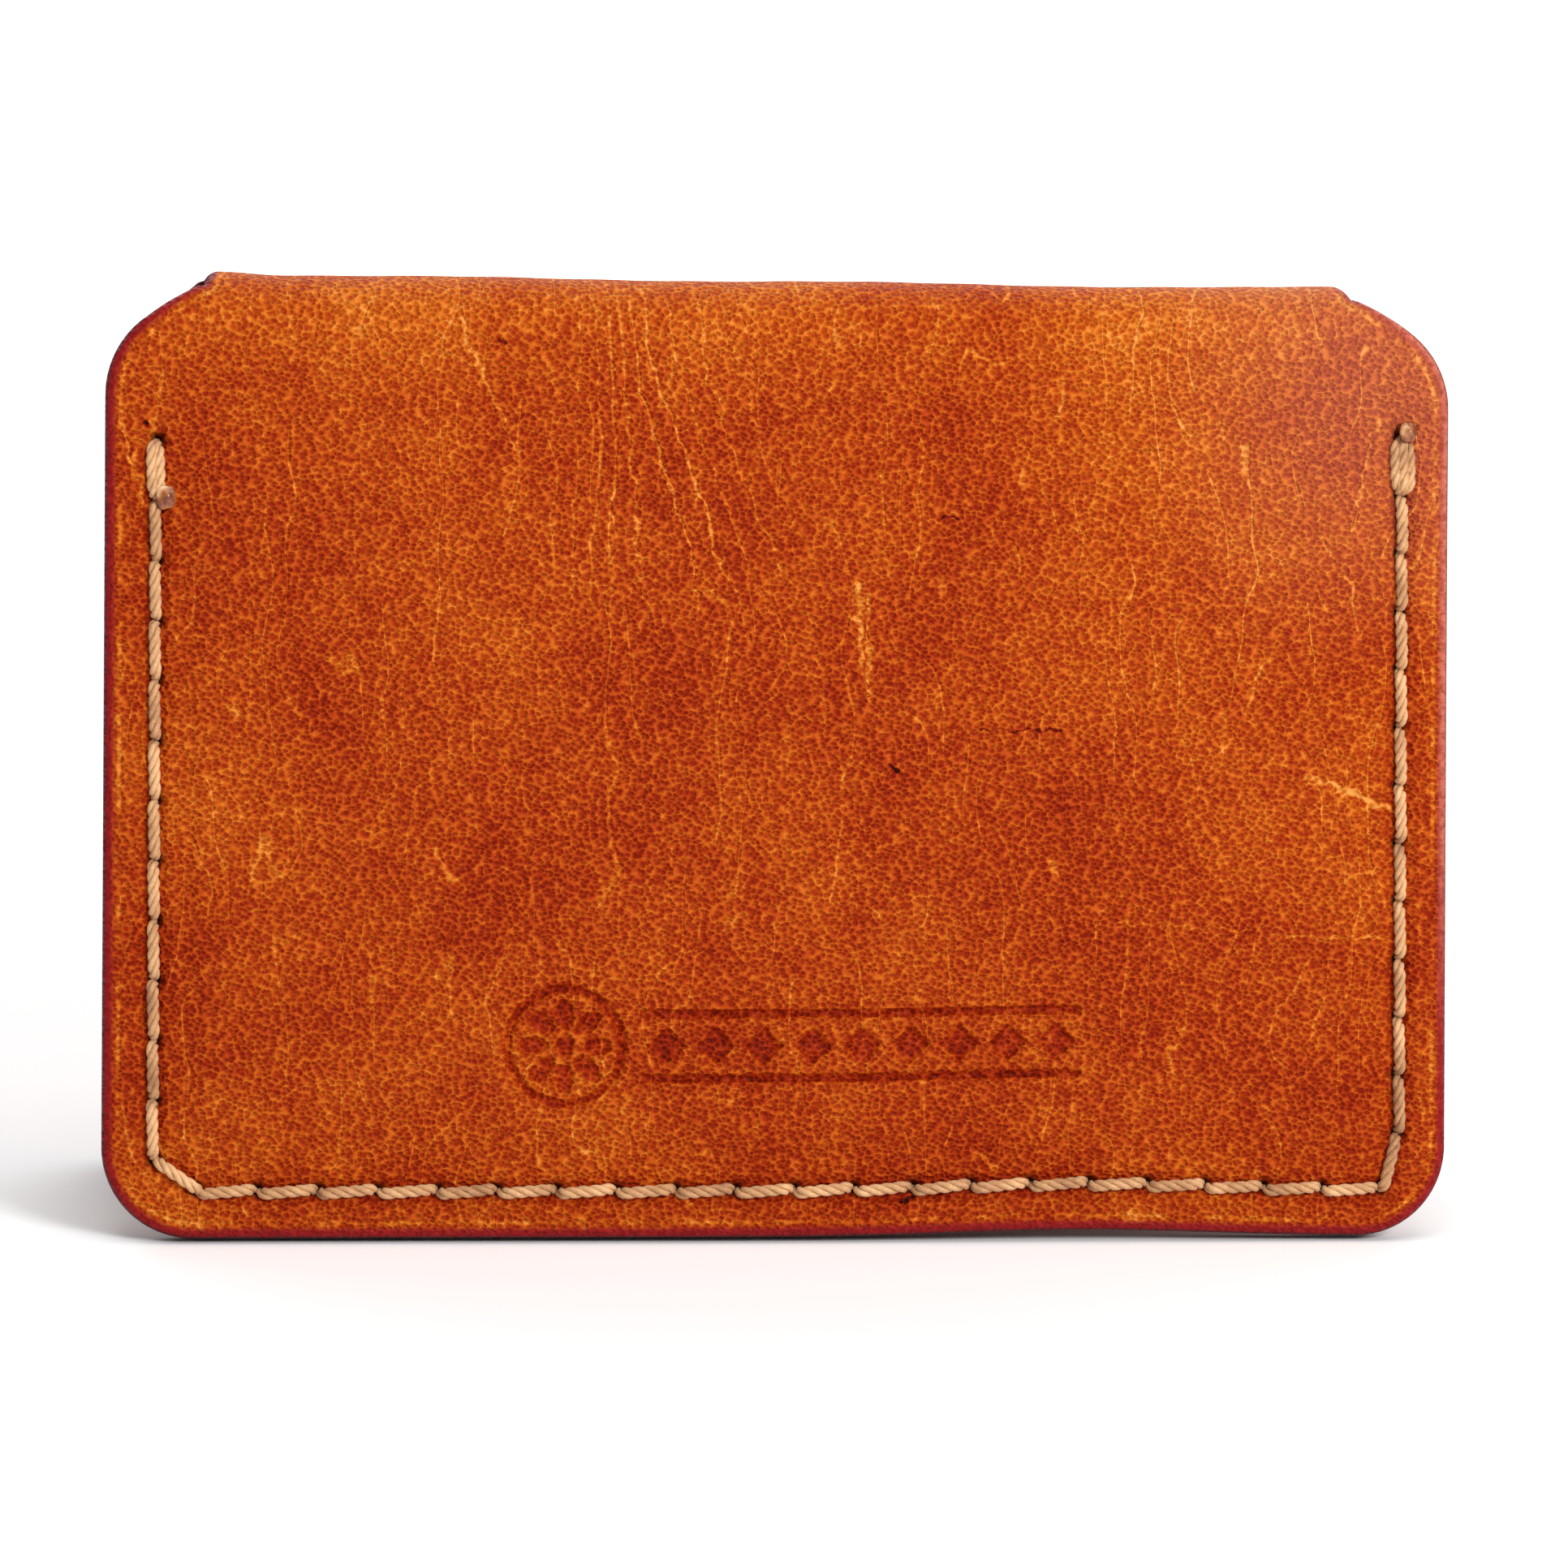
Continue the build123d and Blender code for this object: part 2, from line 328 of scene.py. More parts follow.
def thicken(piece, thick):
    """Gives a flat sheet its thickness, half to each side."""
    select_only(piece)
    wall = piece.modifiers.new("wall", "SOLIDIFY")
    wall.thickness = thick
    wall.offset = 0
    bpy.ops.object.modifier_apply(modifier=wall.name)


def paint(piece, name, values):
    """Stores a value for each vertex for the materials to read."""
    values = np.asarray(values, np.float32)
    kind = "FLOAT" if values.ndim == 1 else "FLOAT_VECTOR"
    stored = piece.data.attributes.new(name, kind, "POINT")
    stored.data.foreach_set("value" if values.ndim == 1 else "vector", values.ravel())


def set_faces(piece, slots):
    """Gives each face its material slot."""
    piece.data.polygons.foreach_set("material_index", np.asarray(slots, np.int32))


# ---------------------------------------------------------------- the seam
def seam_holes():
    """The stitching holes of one half, (x, height above its bottom edge), from top left round to top right."""
    left = [(SEAM_LEFT, LEFT_LOW + LEFT_PITCH * i) for i in range(SIDE_STITCHES, -1, -1)]
    step = (BOTTOM_TO - BOTTOM_FROM) / BOTTOM_STITCHES
    bottom = [(BOTTOM_FROM + step * i, SEAM_BOTTOM) for i in range(BOTTOM_STITCHES + 1)]
    right = [(SEAM_RIGHT, RIGHT_LOW + RIGHT_PITCH * i) for i in range(SIDE_STITCHES + 1)]
    return np.array(left + bottom + right)


holes = seam_holes()


def near_seam(x, height):
    """How far a point is from the line of stitching, and from the nearest hole."""
    line = np.full(len(x), 99.0)
    hole = np.full(len(x), 99.0)
    for (x0, h0), (x1, h1) in zip(holes[:-1], holes[1:]):
        along = np.array([x1 - x0, h1 - h0])
        t = np.clip(((x - x0) * along[0] + (height - h0) * along[1]) / (along @ along), 0, 1)
        line = np.minimum(line, np.hypot(x - x0 - along[0] * t, height - h0 - along[1] * t))
    for x0, h0 in holes:
        across_by, up_by = (-0.16, 0.14) if h0 < LEFT_LOW else (-0.12 * np.sign(x0), -0.16)
        hole = np.minimum(hole, np.hypot(x - x0 - across_by, height - h0 - up_by))
    return line, hole


# ---------------------------------------------------------------- the stamp
def stamp_mask(x, height):
    """1 where the heated stamp pressed the leather down: a ringed rosette and a ruled band of diamonds."""
    up = height - STAMP_ABOVE_EDGE
    soft = 0.11

    def pressed(distance):
        return 1 - smooth(distance, -soft, soft)

    rx = x - ROSETTE_X
    radius = np.hypot(rx, up)
    mask = pressed(np.abs(radius - ROSETTE_RADIUS + RULE_WIDTH / 2) - RULE_WIDTH / 2)
    mask = np.maximum(mask, pressed(radius - PETAL_RADIUS * 1.1))
    for petal in range(ROSETTE_PETALS):
        angle = 2 * math.pi * petal / ROSETTE_PETALS
        along = rx * math.cos(angle) + up * math.sin(angle)
        aside = -rx * math.sin(angle) + up * math.cos(angle)
        mask = np.maximum(mask, pressed((np.hypot((along - 2.35) / 1.7, aside) - PETAL_RADIUS) * 0.9))
    bx = x - BAND_X
    within = np.abs(bx) - BAND_LENGTH / 2
    for rail in (-1, 1):
        edge = rail * (BAND_HEIGHT / 2 - RULE_WIDTH / 2)
        mask = np.maximum(mask, pressed(np.maximum(np.abs(up - edge) - RULE_WIDTH / 2, within)))
    pitch = BAND_LENGTH / BAND_DIAMONDS
    for diamond in range(BAND_DIAMONDS):
        centre = (diamond - (BAND_DIAMONDS - 1) / 2) * pitch
        mask = np.maximum(mask, pressed((np.abs(bx - centre) + np.abs(up)) / math.sqrt(2) - DIAMOND_SIDE / 2))
    return mask


# ---------------------------------------------------------------- colour and materials
def linear(hex_colour):
    """An sRGB hex colour as the linear colour that a node takes."""
    parts = [int(hex_colour[i:i + 2], 16) / 255 for i in (1, 3, 5)]
    return [c / 12.92 if c <= 0.04045 else ((c + 0.055) / 1.055) ** 2.4 for c in parts] + [1.0]


def node(tree, kind, inputs=None, stops=(), **settings):
    """Adds a node with its settings, its ramp's stops, its values and the links into it."""
    new = tree.nodes.new(kind)
    for key, value in settings.items():
        setattr(new, key, value)
    if stops:
        elements = new.color_ramp.elements
        while len(elements) < len(stops):
            elements.new(0.5)
        for element, (place, colour) in zip(elements, stops):
            element.position = place
            element.color = linear(colour)
    for key, value in (inputs or {}).items():
        if isinstance(value, bpy.types.NodeSocket):
            tree.links.new(value, new.inputs[key])
        else:
            new.inputs[key].default_value = value
    return new


def blank_material(name):
    """A material with only its shader, and the shader."""
    material = bpy.data.materials.new(name)
    material.use_nodes = True
    shader = material.node_tree.nodes["Principled BSDF"]
    return material, material.node_tree, shader


def stroke(tree, place, start, end, half_width):
    """1 along a line on the hide, fading out to its half width."""
    start, end = Vector((*start, 0)), Vector((*end, 0))
    along = end - start
    off = node(tree, "ShaderNodeVectorMath", {0: place, 1: start}, operation="SUBTRACT").outputs[0]
    reach = node(tree, "ShaderNodeVectorMath", {0: off, 1: along / along.length_squared}, operation="DOT_PRODUCT")
    share = node(
        tree,
        "ShaderNodeMath",
        {0: reach.outputs["Value"], 1: 0.0},
        operation="ADD",
        use_clamp=True,
    ).outputs[0]
    foot = node(tree, "ShaderNodeVectorMath", {0: along, "Scale": share}, operation="SCALE").outputs[0]
    gap = node(tree, "ShaderNodeVectorMath", {0: off, 1: foot}, operation="DISTANCE").outputs["Value"]
    return node(
        tree,
        "ShaderNodeMapRange",
        {"Value": gap, "From Min": 0.0, "From Max": half_width, "To Min": 1.0, "To Max": 0.0},
        interpolation_type="SMOOTHSTEP",
    ).outputs[0]


# Folds that fan out from under the crown: where each one runs across the hide at these heights
FAN_HEIGHTS = [38.0, 46.0, 52.0, 58.0, 64.0, 70.0]
FAN_FOLDS = [
    [-16.4, -15.6, -15.3, -15.0, -15.0, -15.2],
    [-14.9, -14.2, -13.8, -13.3, -13.5, -13.9],
    [-12.9, -12.6, -12.8, -12.3, -12.6, -13.0],
    [-10.4, -10.6, -10.9, -11.3, -11.9, -12.2],
    [-4.2, -6.2, -7.6, -9.5, -10.9, -11.3],
    [-0.6, -3.4, -5.6, -7.6, -9.9, -10.5],
    [1.9, -1.4, -3.9, -6.0, -8.1, -8.9],
    [4.9, 1.2, -1.6, -4.4, -5.9, -6.8],
    [8.4, 4.0, 0.6, -1.8, -3.4, -4.4],
]
FAN_SHARES = [0.5, 0.7, 0.8, 0.7, 1.0, 1.0, 0.6, 0.7, 0.4]


def fan_place(x, height):
    """Which of the fan's folds a point is at (whole numbers on a fold), how far apart they are, and how strong."""
    lines = np.array([np.interp(height, FAN_HEIGHTS, fold) for fold in FAN_FOLDS])
    index = np.clip((x[None] >= lines).sum(axis=0) - 1, 0, len(lines) - 2)
    columns = np.arange(len(x))
    low, high = lines[index, columns], lines[index + 1, columns]
    along = np.clip((x - low) / (high - low), -0.45, 1.45)
    number = index + along
    share = np.interp(number, np.arange(len(lines)), FAN_SHARES) * smooth(height, 40.0, 52.0)
    share = share * (1 - smooth(height, 64.0, 70.0) * 0.6)
    last = len(lines)
    share = share * smooth(along + index, -0.4, -0.1) * (1 - smooth(along + index, last - 0.9, last - 0.6))
    return np.column_stack([number, high - low, share])


GRAIN_CELL = 0.37
WEB_SPACING = 2.4
FOLD_CELL = 1.05
# Scars and nicks of the worn hide: (x, height) from and to, in mm, half width and strength
REAR_SCARS = [
    ((5.3, 47.6), (5.6, 41.8), 0.42, 1.2),
    ((6.0, 47.0), (6.2, 40.6), 0.26, 1.0),
    ((5.6, 41.8), (6.6, 38.7), 0.16, 0.8),
    ((38.6, 33.9), (45.0, 31.4), 0.36, 1.1),
    ((-23.6, 66.5), (-19.4, 57.0), 0.20, 0.9),
    ((24.5, 22.9), (34.5, 22.6), 0.18, 0.6),
    ((36.0, 22.2), (46.5, 22.0), 0.18, 0.7),
    ((-47.8, 59.0), (-46.2, 53.0), 0.20, 0.9),
    ((43.6, 60.5), (41.8, 52.0), 0.20, 0.8),
    ((45.8, 58.5), (44.9, 51.0), 0.18, 0.7),
]
REAR_NICKS = [
    ((-21.0, 65.3), (-20.6, 64.9), 0.24, 0.9),
    ((11.4, 52.6), (12.4, 52.4), 0.16, 0.8),
    ((7.8, 34.6), (8.3, 34.1), 0.26, 1.0),
    ((14.2, 37.3), (20.3, 37.0), 0.13, 0.6),
    ((8.7, 2.9), (9.6, 2.8), 0.36, 1.0),
    # A spare stitching hole, not modelled: its dark is painted shade of the hole, with a dark stain round it
    ((-46.2, 58.9), (-46.1, 58.8), 0.34, 1.0),
]
FRONT_SCARS = [
    ((-22.0, 55.0), (-27.5, 41.0), 0.22, 0.8),
    ((-6.0, 30.0), (-5.2, 21.5), 0.20, 0.9),
    ((30.0, 20.0), (38.0, 18.5), 0.20, 0.8),
]
FRONT_NICKS = [
    ((-12.0, 18.0), (-11.4, 17.4), 0.26, 0.9),
    ((24.0, 37.0), (30.0, 36.0), 0.14, 0.7),
]


def leather(name, scars=(), nicks=(), flesh=False, tone=0.0):
    """Vegetable-tanned pull-up cowhide. The grain side is waxed and pebbled, the pull-up oil moves away where the
    hide is bent and shows lighter lines, and the cut edges are rubbed to a dark gloss. The flesh side is a dull
    nap."""
    material, tree, shader = blank_material(name)
    hide = node(tree, "ShaderNodeAttribute", attribute_name="hide").outputs["Vector"]
    rim = node(tree, "ShaderNodeAttribute", attribute_name="rim").outputs["Fac"]
    pressed = node(tree, "ShaderNodeAttribute", attribute_name="pressed").outputs["Fac"]
    hole_shade = node(tree, "ShaderNodeAttribute", attribute_name="hole").outputs["Fac"]
    place = node(tree, "ShaderNodeSeparateXYZ", {0: hide})
    across_hide, height = place.outputs[0], place.outputs[1]

    # Broad clouds of colour from the hide and from handling
    clouds = node(tree, "ShaderNodeTexNoise", {"Vector": hide, "Scale": 0.055, "Detail": 3.0, "Roughness": 0.62})
    patches = node(tree, "ShaderNodeTexNoise", {"Vector": hide, "Scale": 0.33, "Detail": 4.0, "Roughness": 0.65})
    flecks = node(tree, "ShaderNodeTexNoise", {"Vector": hide, "Scale": 2.2, "Detail": 4.0, "Roughness": 0.75})

    # Pebbles about 0.4 mm across, gathered by the folds of the skin into groups of a millimetre
    push = node(tree, "ShaderNodeTexNoise", {"Vector": hide, "Scale": 0.9, "Detail": 3.0}).outputs["Color"]
    centred = node(tree, "ShaderNodeVectorMath", {0: push, 1: (0.5, 0.5, 0.5)}, operation="SUBTRACT").outputs[0]
    shift = node(tree, "ShaderNodeVectorMath", {0: centred, "Scale": 0.55}, operation="SCALE").outputs[0]
    pushed = node(tree, "ShaderNodeVectorMath", {0: hide, 1: shift}, operation="ADD").outputs[0]
    slanted = node(tree, "ShaderNodeMapping", {"Vector": pushed, "Rotation": (0, 0, 0.45), "Scale": (0.82, 1.12, 1)})
    fine = {"Vector": slanted.outputs[0], "Scale": 1 / GRAIN_CELL, "Randomness": 1.0}
    domes = node(tree, "ShaderNodeTexVoronoi", fine, feature="F1", voronoi_dimensions="2D")
    valleys = node(tree, "ShaderNodeTexVoronoi", fine, feature="DISTANCE_TO_EDGE", voronoi_dimensions="2D")
    breaks = node(tree, "ShaderNodeTexNoise", {"Vector": hide, "Scale": 1.5, "Detail": 2.0})
    coarse = {"Vector": slanted.outputs[0], "Scale": 1 / FOLD_CELL, "Randomness": 1.0}
    groups = node(tree, "ShaderNodeTexVoronoi", coarse, feature="DISTANCE_TO_EDGE", voronoi_dimensions="2D")
    dome = node(
        tree,
        "ShaderNodeMapRange",
        {"Value": domes.outputs["Distance"], "From Min": 0.05, "From Max": 0.7, "To Min": 1.0, "To Max": 0.0},
        interpolation_type="SMOOTHSTEP",
    ).outputs[0]
    vein = node(
        tree,
        "ShaderNodeMapRange",
        {"Value": valleys.outputs["Distance"], "From Min": 0.0, "From Max": 0.15, "To Min": 1.0, "To Max": 0.0},
        interpolation_type="SMOOTHSTEP",
    ).outputs[0]
    vein = node(
        tree,
        "ShaderNodeMath",
        {
            0: vein,
            1: node(
                tree,
                "ShaderNodeMapRange",
                {"Value": breaks.outputs[0], "From Min": 0.46, "From Max": 0.58},
                interpolation_type="SMOOTHSTEP",
            ).outputs[0],
        },
        operation="MULTIPLY",
    ).outputs[0]
    group = node(
        tree,
        "ShaderNodeMapRange",
        {"Value": groups.outputs["Distance"], "From Min": 0.0, "From Max": 0.2},
        interpolation_type="SMOOTHSTEP",
    ).outputs[0]
    each = node(tree, "ShaderNodeSeparateColor", {0: domes.outputs["Color"]}).outputs[0]

    # Lines where the oil has moved: a fan of folds below the crown, upright ones all over, and the scars
    stretched_place = node(tree, "ShaderNodeVectorMath", {0: hide, 1: (0.12, 0.05, 0.0)}, operation="MULTIPLY")
    drift = node(tree, "ShaderNodeTexNoise", {"Vector": stretched_place.outputs[0], "Scale": 1.0, "Detail": 2.0})
    stretches = node(tree, "ShaderNodeVectorMath", {0: hide, 1: (0.34, 0.085, 0.0)}, operation="MULTIPLY")
    shown = node(tree, "ShaderNodeTexNoise", {"Vector": stretches.outputs[0], "Scale": 1.0, "Detail": 1.0})
    sideways = node(
        tree,
        "ShaderNodeMath",
        {0: node(tree, "ShaderNodeSeparateXYZ", {0: pushed}).outputs[0], 1: 1 / WEB_SPACING},
        operation="MULTIPLY",
    ).outputs[0]
    column = node(
        tree,
        "ShaderNodeMath",
        {0: drift.outputs[0], 1: 7.0, 2: sideways},
        operation="MULTIPLY_ADD",
    ).outputs[0]
    web = node(
        tree,
        "ShaderNodeMath",
        {
            0: node(
                tree,
                "ShaderNodeMath",
                {0: column, 1: node(tree, "ShaderNodeMath", {0: column}, operation="ROUND").outputs[0]},
                operation="SUBTRACT",
            ).outputs[0],
        },
        operation="ABSOLUTE",
    ).outputs[0]
    web = node(
        tree,
        "ShaderNodeMapRange",
        {
            "Value": node(tree, "ShaderNodeMath", {0: web, 1: WEB_SPACING}, operation="MULTIPLY").outputs[0],
            "From Min": 0.02,
            "From Max": 0.15,
            "To Min": 1.0,
            "To Max": 0.0,
        },
        interpolation_type="SMOOTHSTEP",
    ).outputs[0]
    # A mask over the right and upper part of the hide, where light from the right is painted on; the pull-up lines
    # are shown stronger there too
    painted_light_right = node(
        tree,
        "ShaderNodeMath",
        {
            0: node(
                tree,
                "ShaderNodeMapRange",
                {"Value": across_hide, "From Min": 8.0, "From Max": 40.0},
                interpolation_type="SMOOTHSTEP",
            ).outputs[0],
            1: node(
                tree,
                "ShaderNodeMapRange",
                {"Value": height, "From Min": 20.0, "From Max": 55.0},
                interpolation_type="SMOOTHSTEP",
            ).outputs[0],
        },
        operation="MULTIPLY",
    ).outputs[0]
    share = node(tree, "ShaderNodeMath", {0: painted_light_right, 1: 0.3, 2: 0.6}, operation="MULTIPLY_ADD").outputs[0]
    web = node(tree, "ShaderNodeMath", {0: web, 1: share}, operation="MULTIPLY").outputs[0]
    web = node(
        tree,
        "ShaderNodeMath",
        {
            0: web,
            1: node(
                tree,
                "ShaderNodeMapRange",
                {"Value": shown.outputs[0], "From Min": 0.455, "From Max": 0.58},
                interpolation_type="SMOOTHSTEP",
            ).outputs[0],
        },
        operation="MULTIPLY",
    ).outputs[0]
    fan = node(tree, "ShaderNodeSeparateXYZ", {
        0: node(tree, "ShaderNodeAttribute", attribute_name="fan").outputs["Vector"]
    }).outputs
    sway = node(tree, "ShaderNodeTexNoise", {"Vector": hide, "Scale": 0.55, "Detail": 3.0}).outputs[0]
    swayed = node(
        tree,
        "ShaderNodeMath",
        {0: sway, 1: 0.9, 2: node(tree, "ShaderNodeMath", {0: fan[0], 1: 0.45}, operation="SUBTRACT").outputs[0]},
        operation="MULTIPLY_ADD",
    ).outputs[0]
    gap = node(
        tree,
        "ShaderNodeMath",
        {
            0: node(
                tree,
                "ShaderNodeMath",
                {0: swayed, 1: node(tree, "ShaderNodeMath", {0: swayed}, operation="ROUND").outputs[0]},
                operation="SUBTRACT",
            ).outputs[0],
        },
        operation="ABSOLUTE",
    ).outputs[0]
    crease = node(
        tree,
        "ShaderNodeMapRange",
        {
            "Value": node(tree, "ShaderNodeMath", {0: gap, 1: fan[1]}, operation="MULTIPLY").outputs[0],
            "From Min": 0.03,
            "From Max": 0.16,
            "To Min": 1.0,
            "To Max": 0.0,
        },
        interpolation_type="SMOOTHSTEP",
    ).outputs[0]
    crease = node(tree, "ShaderNodeMath", {0: crease, 1: fan[2]}, operation="MULTIPLY").outputs[0]
    lines = node(
        tree,
        "ShaderNodeMath",
        {
            0: web,
            1: node(
                tree,
                "ShaderNodeMath",
                {
                    0: crease,
                    1: node(
                        tree,
                        "ShaderNodeMapRange",
                        {
                            "Value": breaks.outputs[0],
                            "From Min": 0.3,
                            "From Max": 0.5,
                            "To Min": 0.4,
                            "To Max": 1.0,
                        },
                        interpolation_type="SMOOTHSTEP",
                    ).outputs[0],
                },
                operation="MULTIPLY",
            ).outputs[0],
        },
        operation="MAXIMUM",
    ).outputs[0]
    wander = node(tree, "ShaderNodeVectorMath", {0: centred, 1: (1.5, 1.5, 0.0)}, operation="MULTIPLY").outputs[0]
    wandered = node(tree, "ShaderNodeVectorMath", {0: hide, 1: wander}, operation="ADD").outputs[0]
    on_sheet = node(tree, "ShaderNodeVectorMath", {0: wandered, 1: (1, 1, 0)}, operation="MULTIPLY").outputs[0]
    for start, end, half_width, strength in scars:
        line = node(
            tree,
            "ShaderNodeMath",
            {0: stroke(tree, on_sheet, start, end, half_width), 1: strength},
            operation="MULTIPLY",
        ).outputs[0]
        lines = node(tree, "ShaderNodeMath", {0: lines, 1: line}, operation="MAXIMUM").outputs[0]
    # The edge tool left a fine crease just inside the cut edge
    tooled = node(
        tree,
        "ShaderNodeMath",
        {0: node(tree, "ShaderNodeMath", {0: rim, 1: 1.15}, operation="SUBTRACT").outputs[0]},
        operation="ABSOLUTE",
    ).outputs[0]
    tooled = node(
        tree,
        "ShaderNodeMath",
        {
            0: node(
                tree,
                "ShaderNodeMapRange",
                {"Value": tooled, "From Min": 0.05, "From Max": 0.24, "To Min": 0.75, "To Max": 0.0},
                interpolation_type="SMOOTHSTEP",
            ).outputs[0],
            1: node(
                tree,
                "ShaderNodeMapRange",
                {"Value": patches.outputs[0], "From Min": 0.38, "From Max": 0.62},
                interpolation_type="SMOOTHSTEP",
            ).outputs[0],
        },
        operation="MULTIPLY",
    ).outputs[0]
    lines = node(tree, "ShaderNodeMath", {0: lines, 1: tooled}, operation="MAXIMUM").outputs[0]
    marks = 0.0
    for start, end, half_width, strength in nicks:
        line = node(
            tree,
            "ShaderNodeMath",
            {0: stroke(tree, on_sheet, start, end, half_width), 1: strength},
            operation="MULTIPLY",
        ).outputs[0]
        marks = node(tree, "ShaderNodeMath", {0: marks, 1: line}, operation="MAXIMUM").outputs[0]

    # All of these push the colour up or down one scale, from dark oil to the orange of dried-out leather. The lift
    # over the right and upper part is painted light, and the darkening beside the stitching is painted shade
    level = node(
        tree,
        "ShaderNodeMath",
        {0: clouds.outputs[0], 1: 0.55, 2: 0.205 + tone},
        operation="MULTIPLY_ADD",
    ).outputs[0]
    level = node(
        tree,
        "ShaderNodeMath",
        {
            0: patches.outputs[0],
            1: 0.28,
            2: node(tree, "ShaderNodeMath", {0: level, 1: 0.14}, operation="SUBTRACT").outputs[0],
        },
        operation="MULTIPLY_ADD",
    ).outputs[0]
    level = node(
        tree,
        "ShaderNodeMath",
        {0: dome, 1: -0.2, 2: node(tree, "ShaderNodeMath", {0: level, 1: 0.12}, operation="ADD").outputs[0]},
        operation="MULTIPLY_ADD",
    ).outputs[0]
    level = node(
        tree,
        "ShaderNodeMath",
        {0: vein, 1: 0.14, 2: node(tree, "ShaderNodeMath", {0: level, 1: 0.01}, operation="SUBTRACT").outputs[0]},
        operation="MULTIPLY_ADD",
    ).outputs[0]
    level = node(
        tree,
        "ShaderNodeMath",
        {0: group, 1: -0.08, 2: node(tree, "ShaderNodeMath", {0: level, 1: 0.06}, operation="ADD").outputs[0]},
        operation="MULTIPLY_ADD",
    ).outputs[0]
    level = node(
        tree,
        "ShaderNodeMath",
        {0: each, 1: 0.13, 2: node(tree, "ShaderNodeMath", {0: level, 1: 0.065}, operation="SUBTRACT").outputs[0]},
        operation="MULTIPLY_ADD",
    ).outputs[0]
    level = node(
        tree,
        "ShaderNodeMath",
        {
            0: flecks.outputs[0],
            1: 0.22,
            2: node(tree, "ShaderNodeMath", {0: level, 1: 0.11}, operation="SUBTRACT").outputs[0],
        },
        operation="MULTIPLY_ADD",
    ).outputs[0]
    level = node(tree, "ShaderNodeMath", {0: lines, 1: 0.33, 2: level}, operation="MULTIPLY_ADD").outputs[0]
    # Painted light: the right and upper part is lifted lighter, as if lit from the right
    level = node(tree, "ShaderNodeMath", {0: painted_light_right, 1: 0.08, 2: level}, operation="MULTIPLY_ADD").outputs[0]
    stretched = node(
        tree,
        "ShaderNodeMapRange",
        {
            "Value": node(tree, "ShaderNodeMath", {0: hide_length, 1: height}, operation="SUBTRACT").outputs[0],
            "From Min": 2.0,
            "From Max": 12.0,
            "To Min": 0.12,
            "To Max": 0.0,
        },
        interpolation_type="SMOOTHSTEP",
    ).outputs[0]
    level = node(tree, "ShaderNodeMath", {0: level, 1: stretched}, operation="ADD").outputs[0]
    # pressed darkens the stamp, which the heated stamp really darkened, and paints shade along both sides of the
    # stitching
    level = node(tree, "ShaderNodeMath", {0: pressed, 1: -0.21, 2: level}, operation="MULTIPLY_ADD").outputs[0]
    level = node(tree, "ShaderNodeMath", {0: marks, 1: -0.55, 2: level}, operation="MULTIPLY_ADD").outputs[0]
    if flesh:
        colour = node(
            tree,
            "ShaderNodeValToRGB",
            {0: level},
            stops=[(0.15, "#7A401C"), (0.4, "#925426"), (0.6, "#A06436"), (0.9, "#B88052")],
        ).outputs[0]
    else:
        colour = node(
            tree,
            "ShaderNodeValToRGB",
            {0: level},
            stops=[
                (0.0, "#260300"),
                (0.2, "#6A1000"),
                (0.38, "#8E2002"),
                (0.52, "#A63708"),
                (0.66, "#B74F0C"),
                (0.82, "#CB6C1A"),
                (1.0, "#DE8E42"),
            ],
        ).outputs[0]
    # Painted sheen: a pale pink over the upper right of the hide, where the light glances off it
    painted_sheen = node(
        tree,
        "ShaderNodeMath",
        {
            0: node(
                tree,
                "ShaderNodeMapRange",
                {"Value": across_hide, "From Min": 24.0, "From Max": 44.0},
                interpolation_type="SMOOTHSTEP",
            ).outputs[0],
            1: node(
                tree,
                "ShaderNodeMapRange",
                {"Value": height, "From Min": 40.0, "From Max": 64.0, "To Min": 0.0, "To Max": 0.13},
                interpolation_type="SMOOTHSTEP",
            ).outputs[0],
        },
        operation="MULTIPLY",
    ).outputs[0]
    colour = node(tree, "ShaderNodeMix", {0: painted_sheen, 6: colour, 7: linear("#DBA084")}, data_type="RGBA").outputs[2]
    rubbed = node(
        tree,
        "ShaderNodeMapRange",
        {"Value": rim, "From Min": 0.5, "From Max": 0.95, "To Min": 1.0, "To Max": 0.0},
        interpolation_type="SMOOTHSTEP",
    ).outputs[0]
    colour = node(
        tree,
        "ShaderNodeMix",
        {
            0: rubbed,
            6: colour,
            7: node(
                tree,
                "ShaderNodeValToRGB",
                {0: flecks.outputs[0]},
                stops=[(0.3, "#6E0C10"), (0.7, "#9A1F1E")],
            ).outputs[0],
        },
        data_type="RGBA",
    ).outputs[2]
    lit_edge = node(
        tree,
        "ShaderNodeMath",
        {
            0: node(
                tree,
                "ShaderNodeMapRange",
                {"Value": across_hide, "From Min": 36.0, "From Max": 46.0},
                interpolation_type="SMOOTHSTEP",
            ).outputs[0],
            1: node(
                tree,
                "ShaderNodeMapRange",
                {"Value": height, "From Min": 10.0, "From Max": 36.0},
                interpolation_type="SMOOTHSTEP",
            ).outputs[0],
        },
        operation="MULTIPLY",
    ).outputs[0]
    lit_edge = node(
        tree,
        "ShaderNodeMath",
        {
            0: lit_edge,
            1: node(
                tree,
                "ShaderNodeMapRange",
                {"Value": rim, "From Min": 0.35, "From Max": 0.95, "To Min": 1.0, "To Max": 0.0},
                interpolation_type="SMOOTHSTEP",
            ).outputs[0],
        },
        operation="MULTIPLY",
    ).outputs[0]
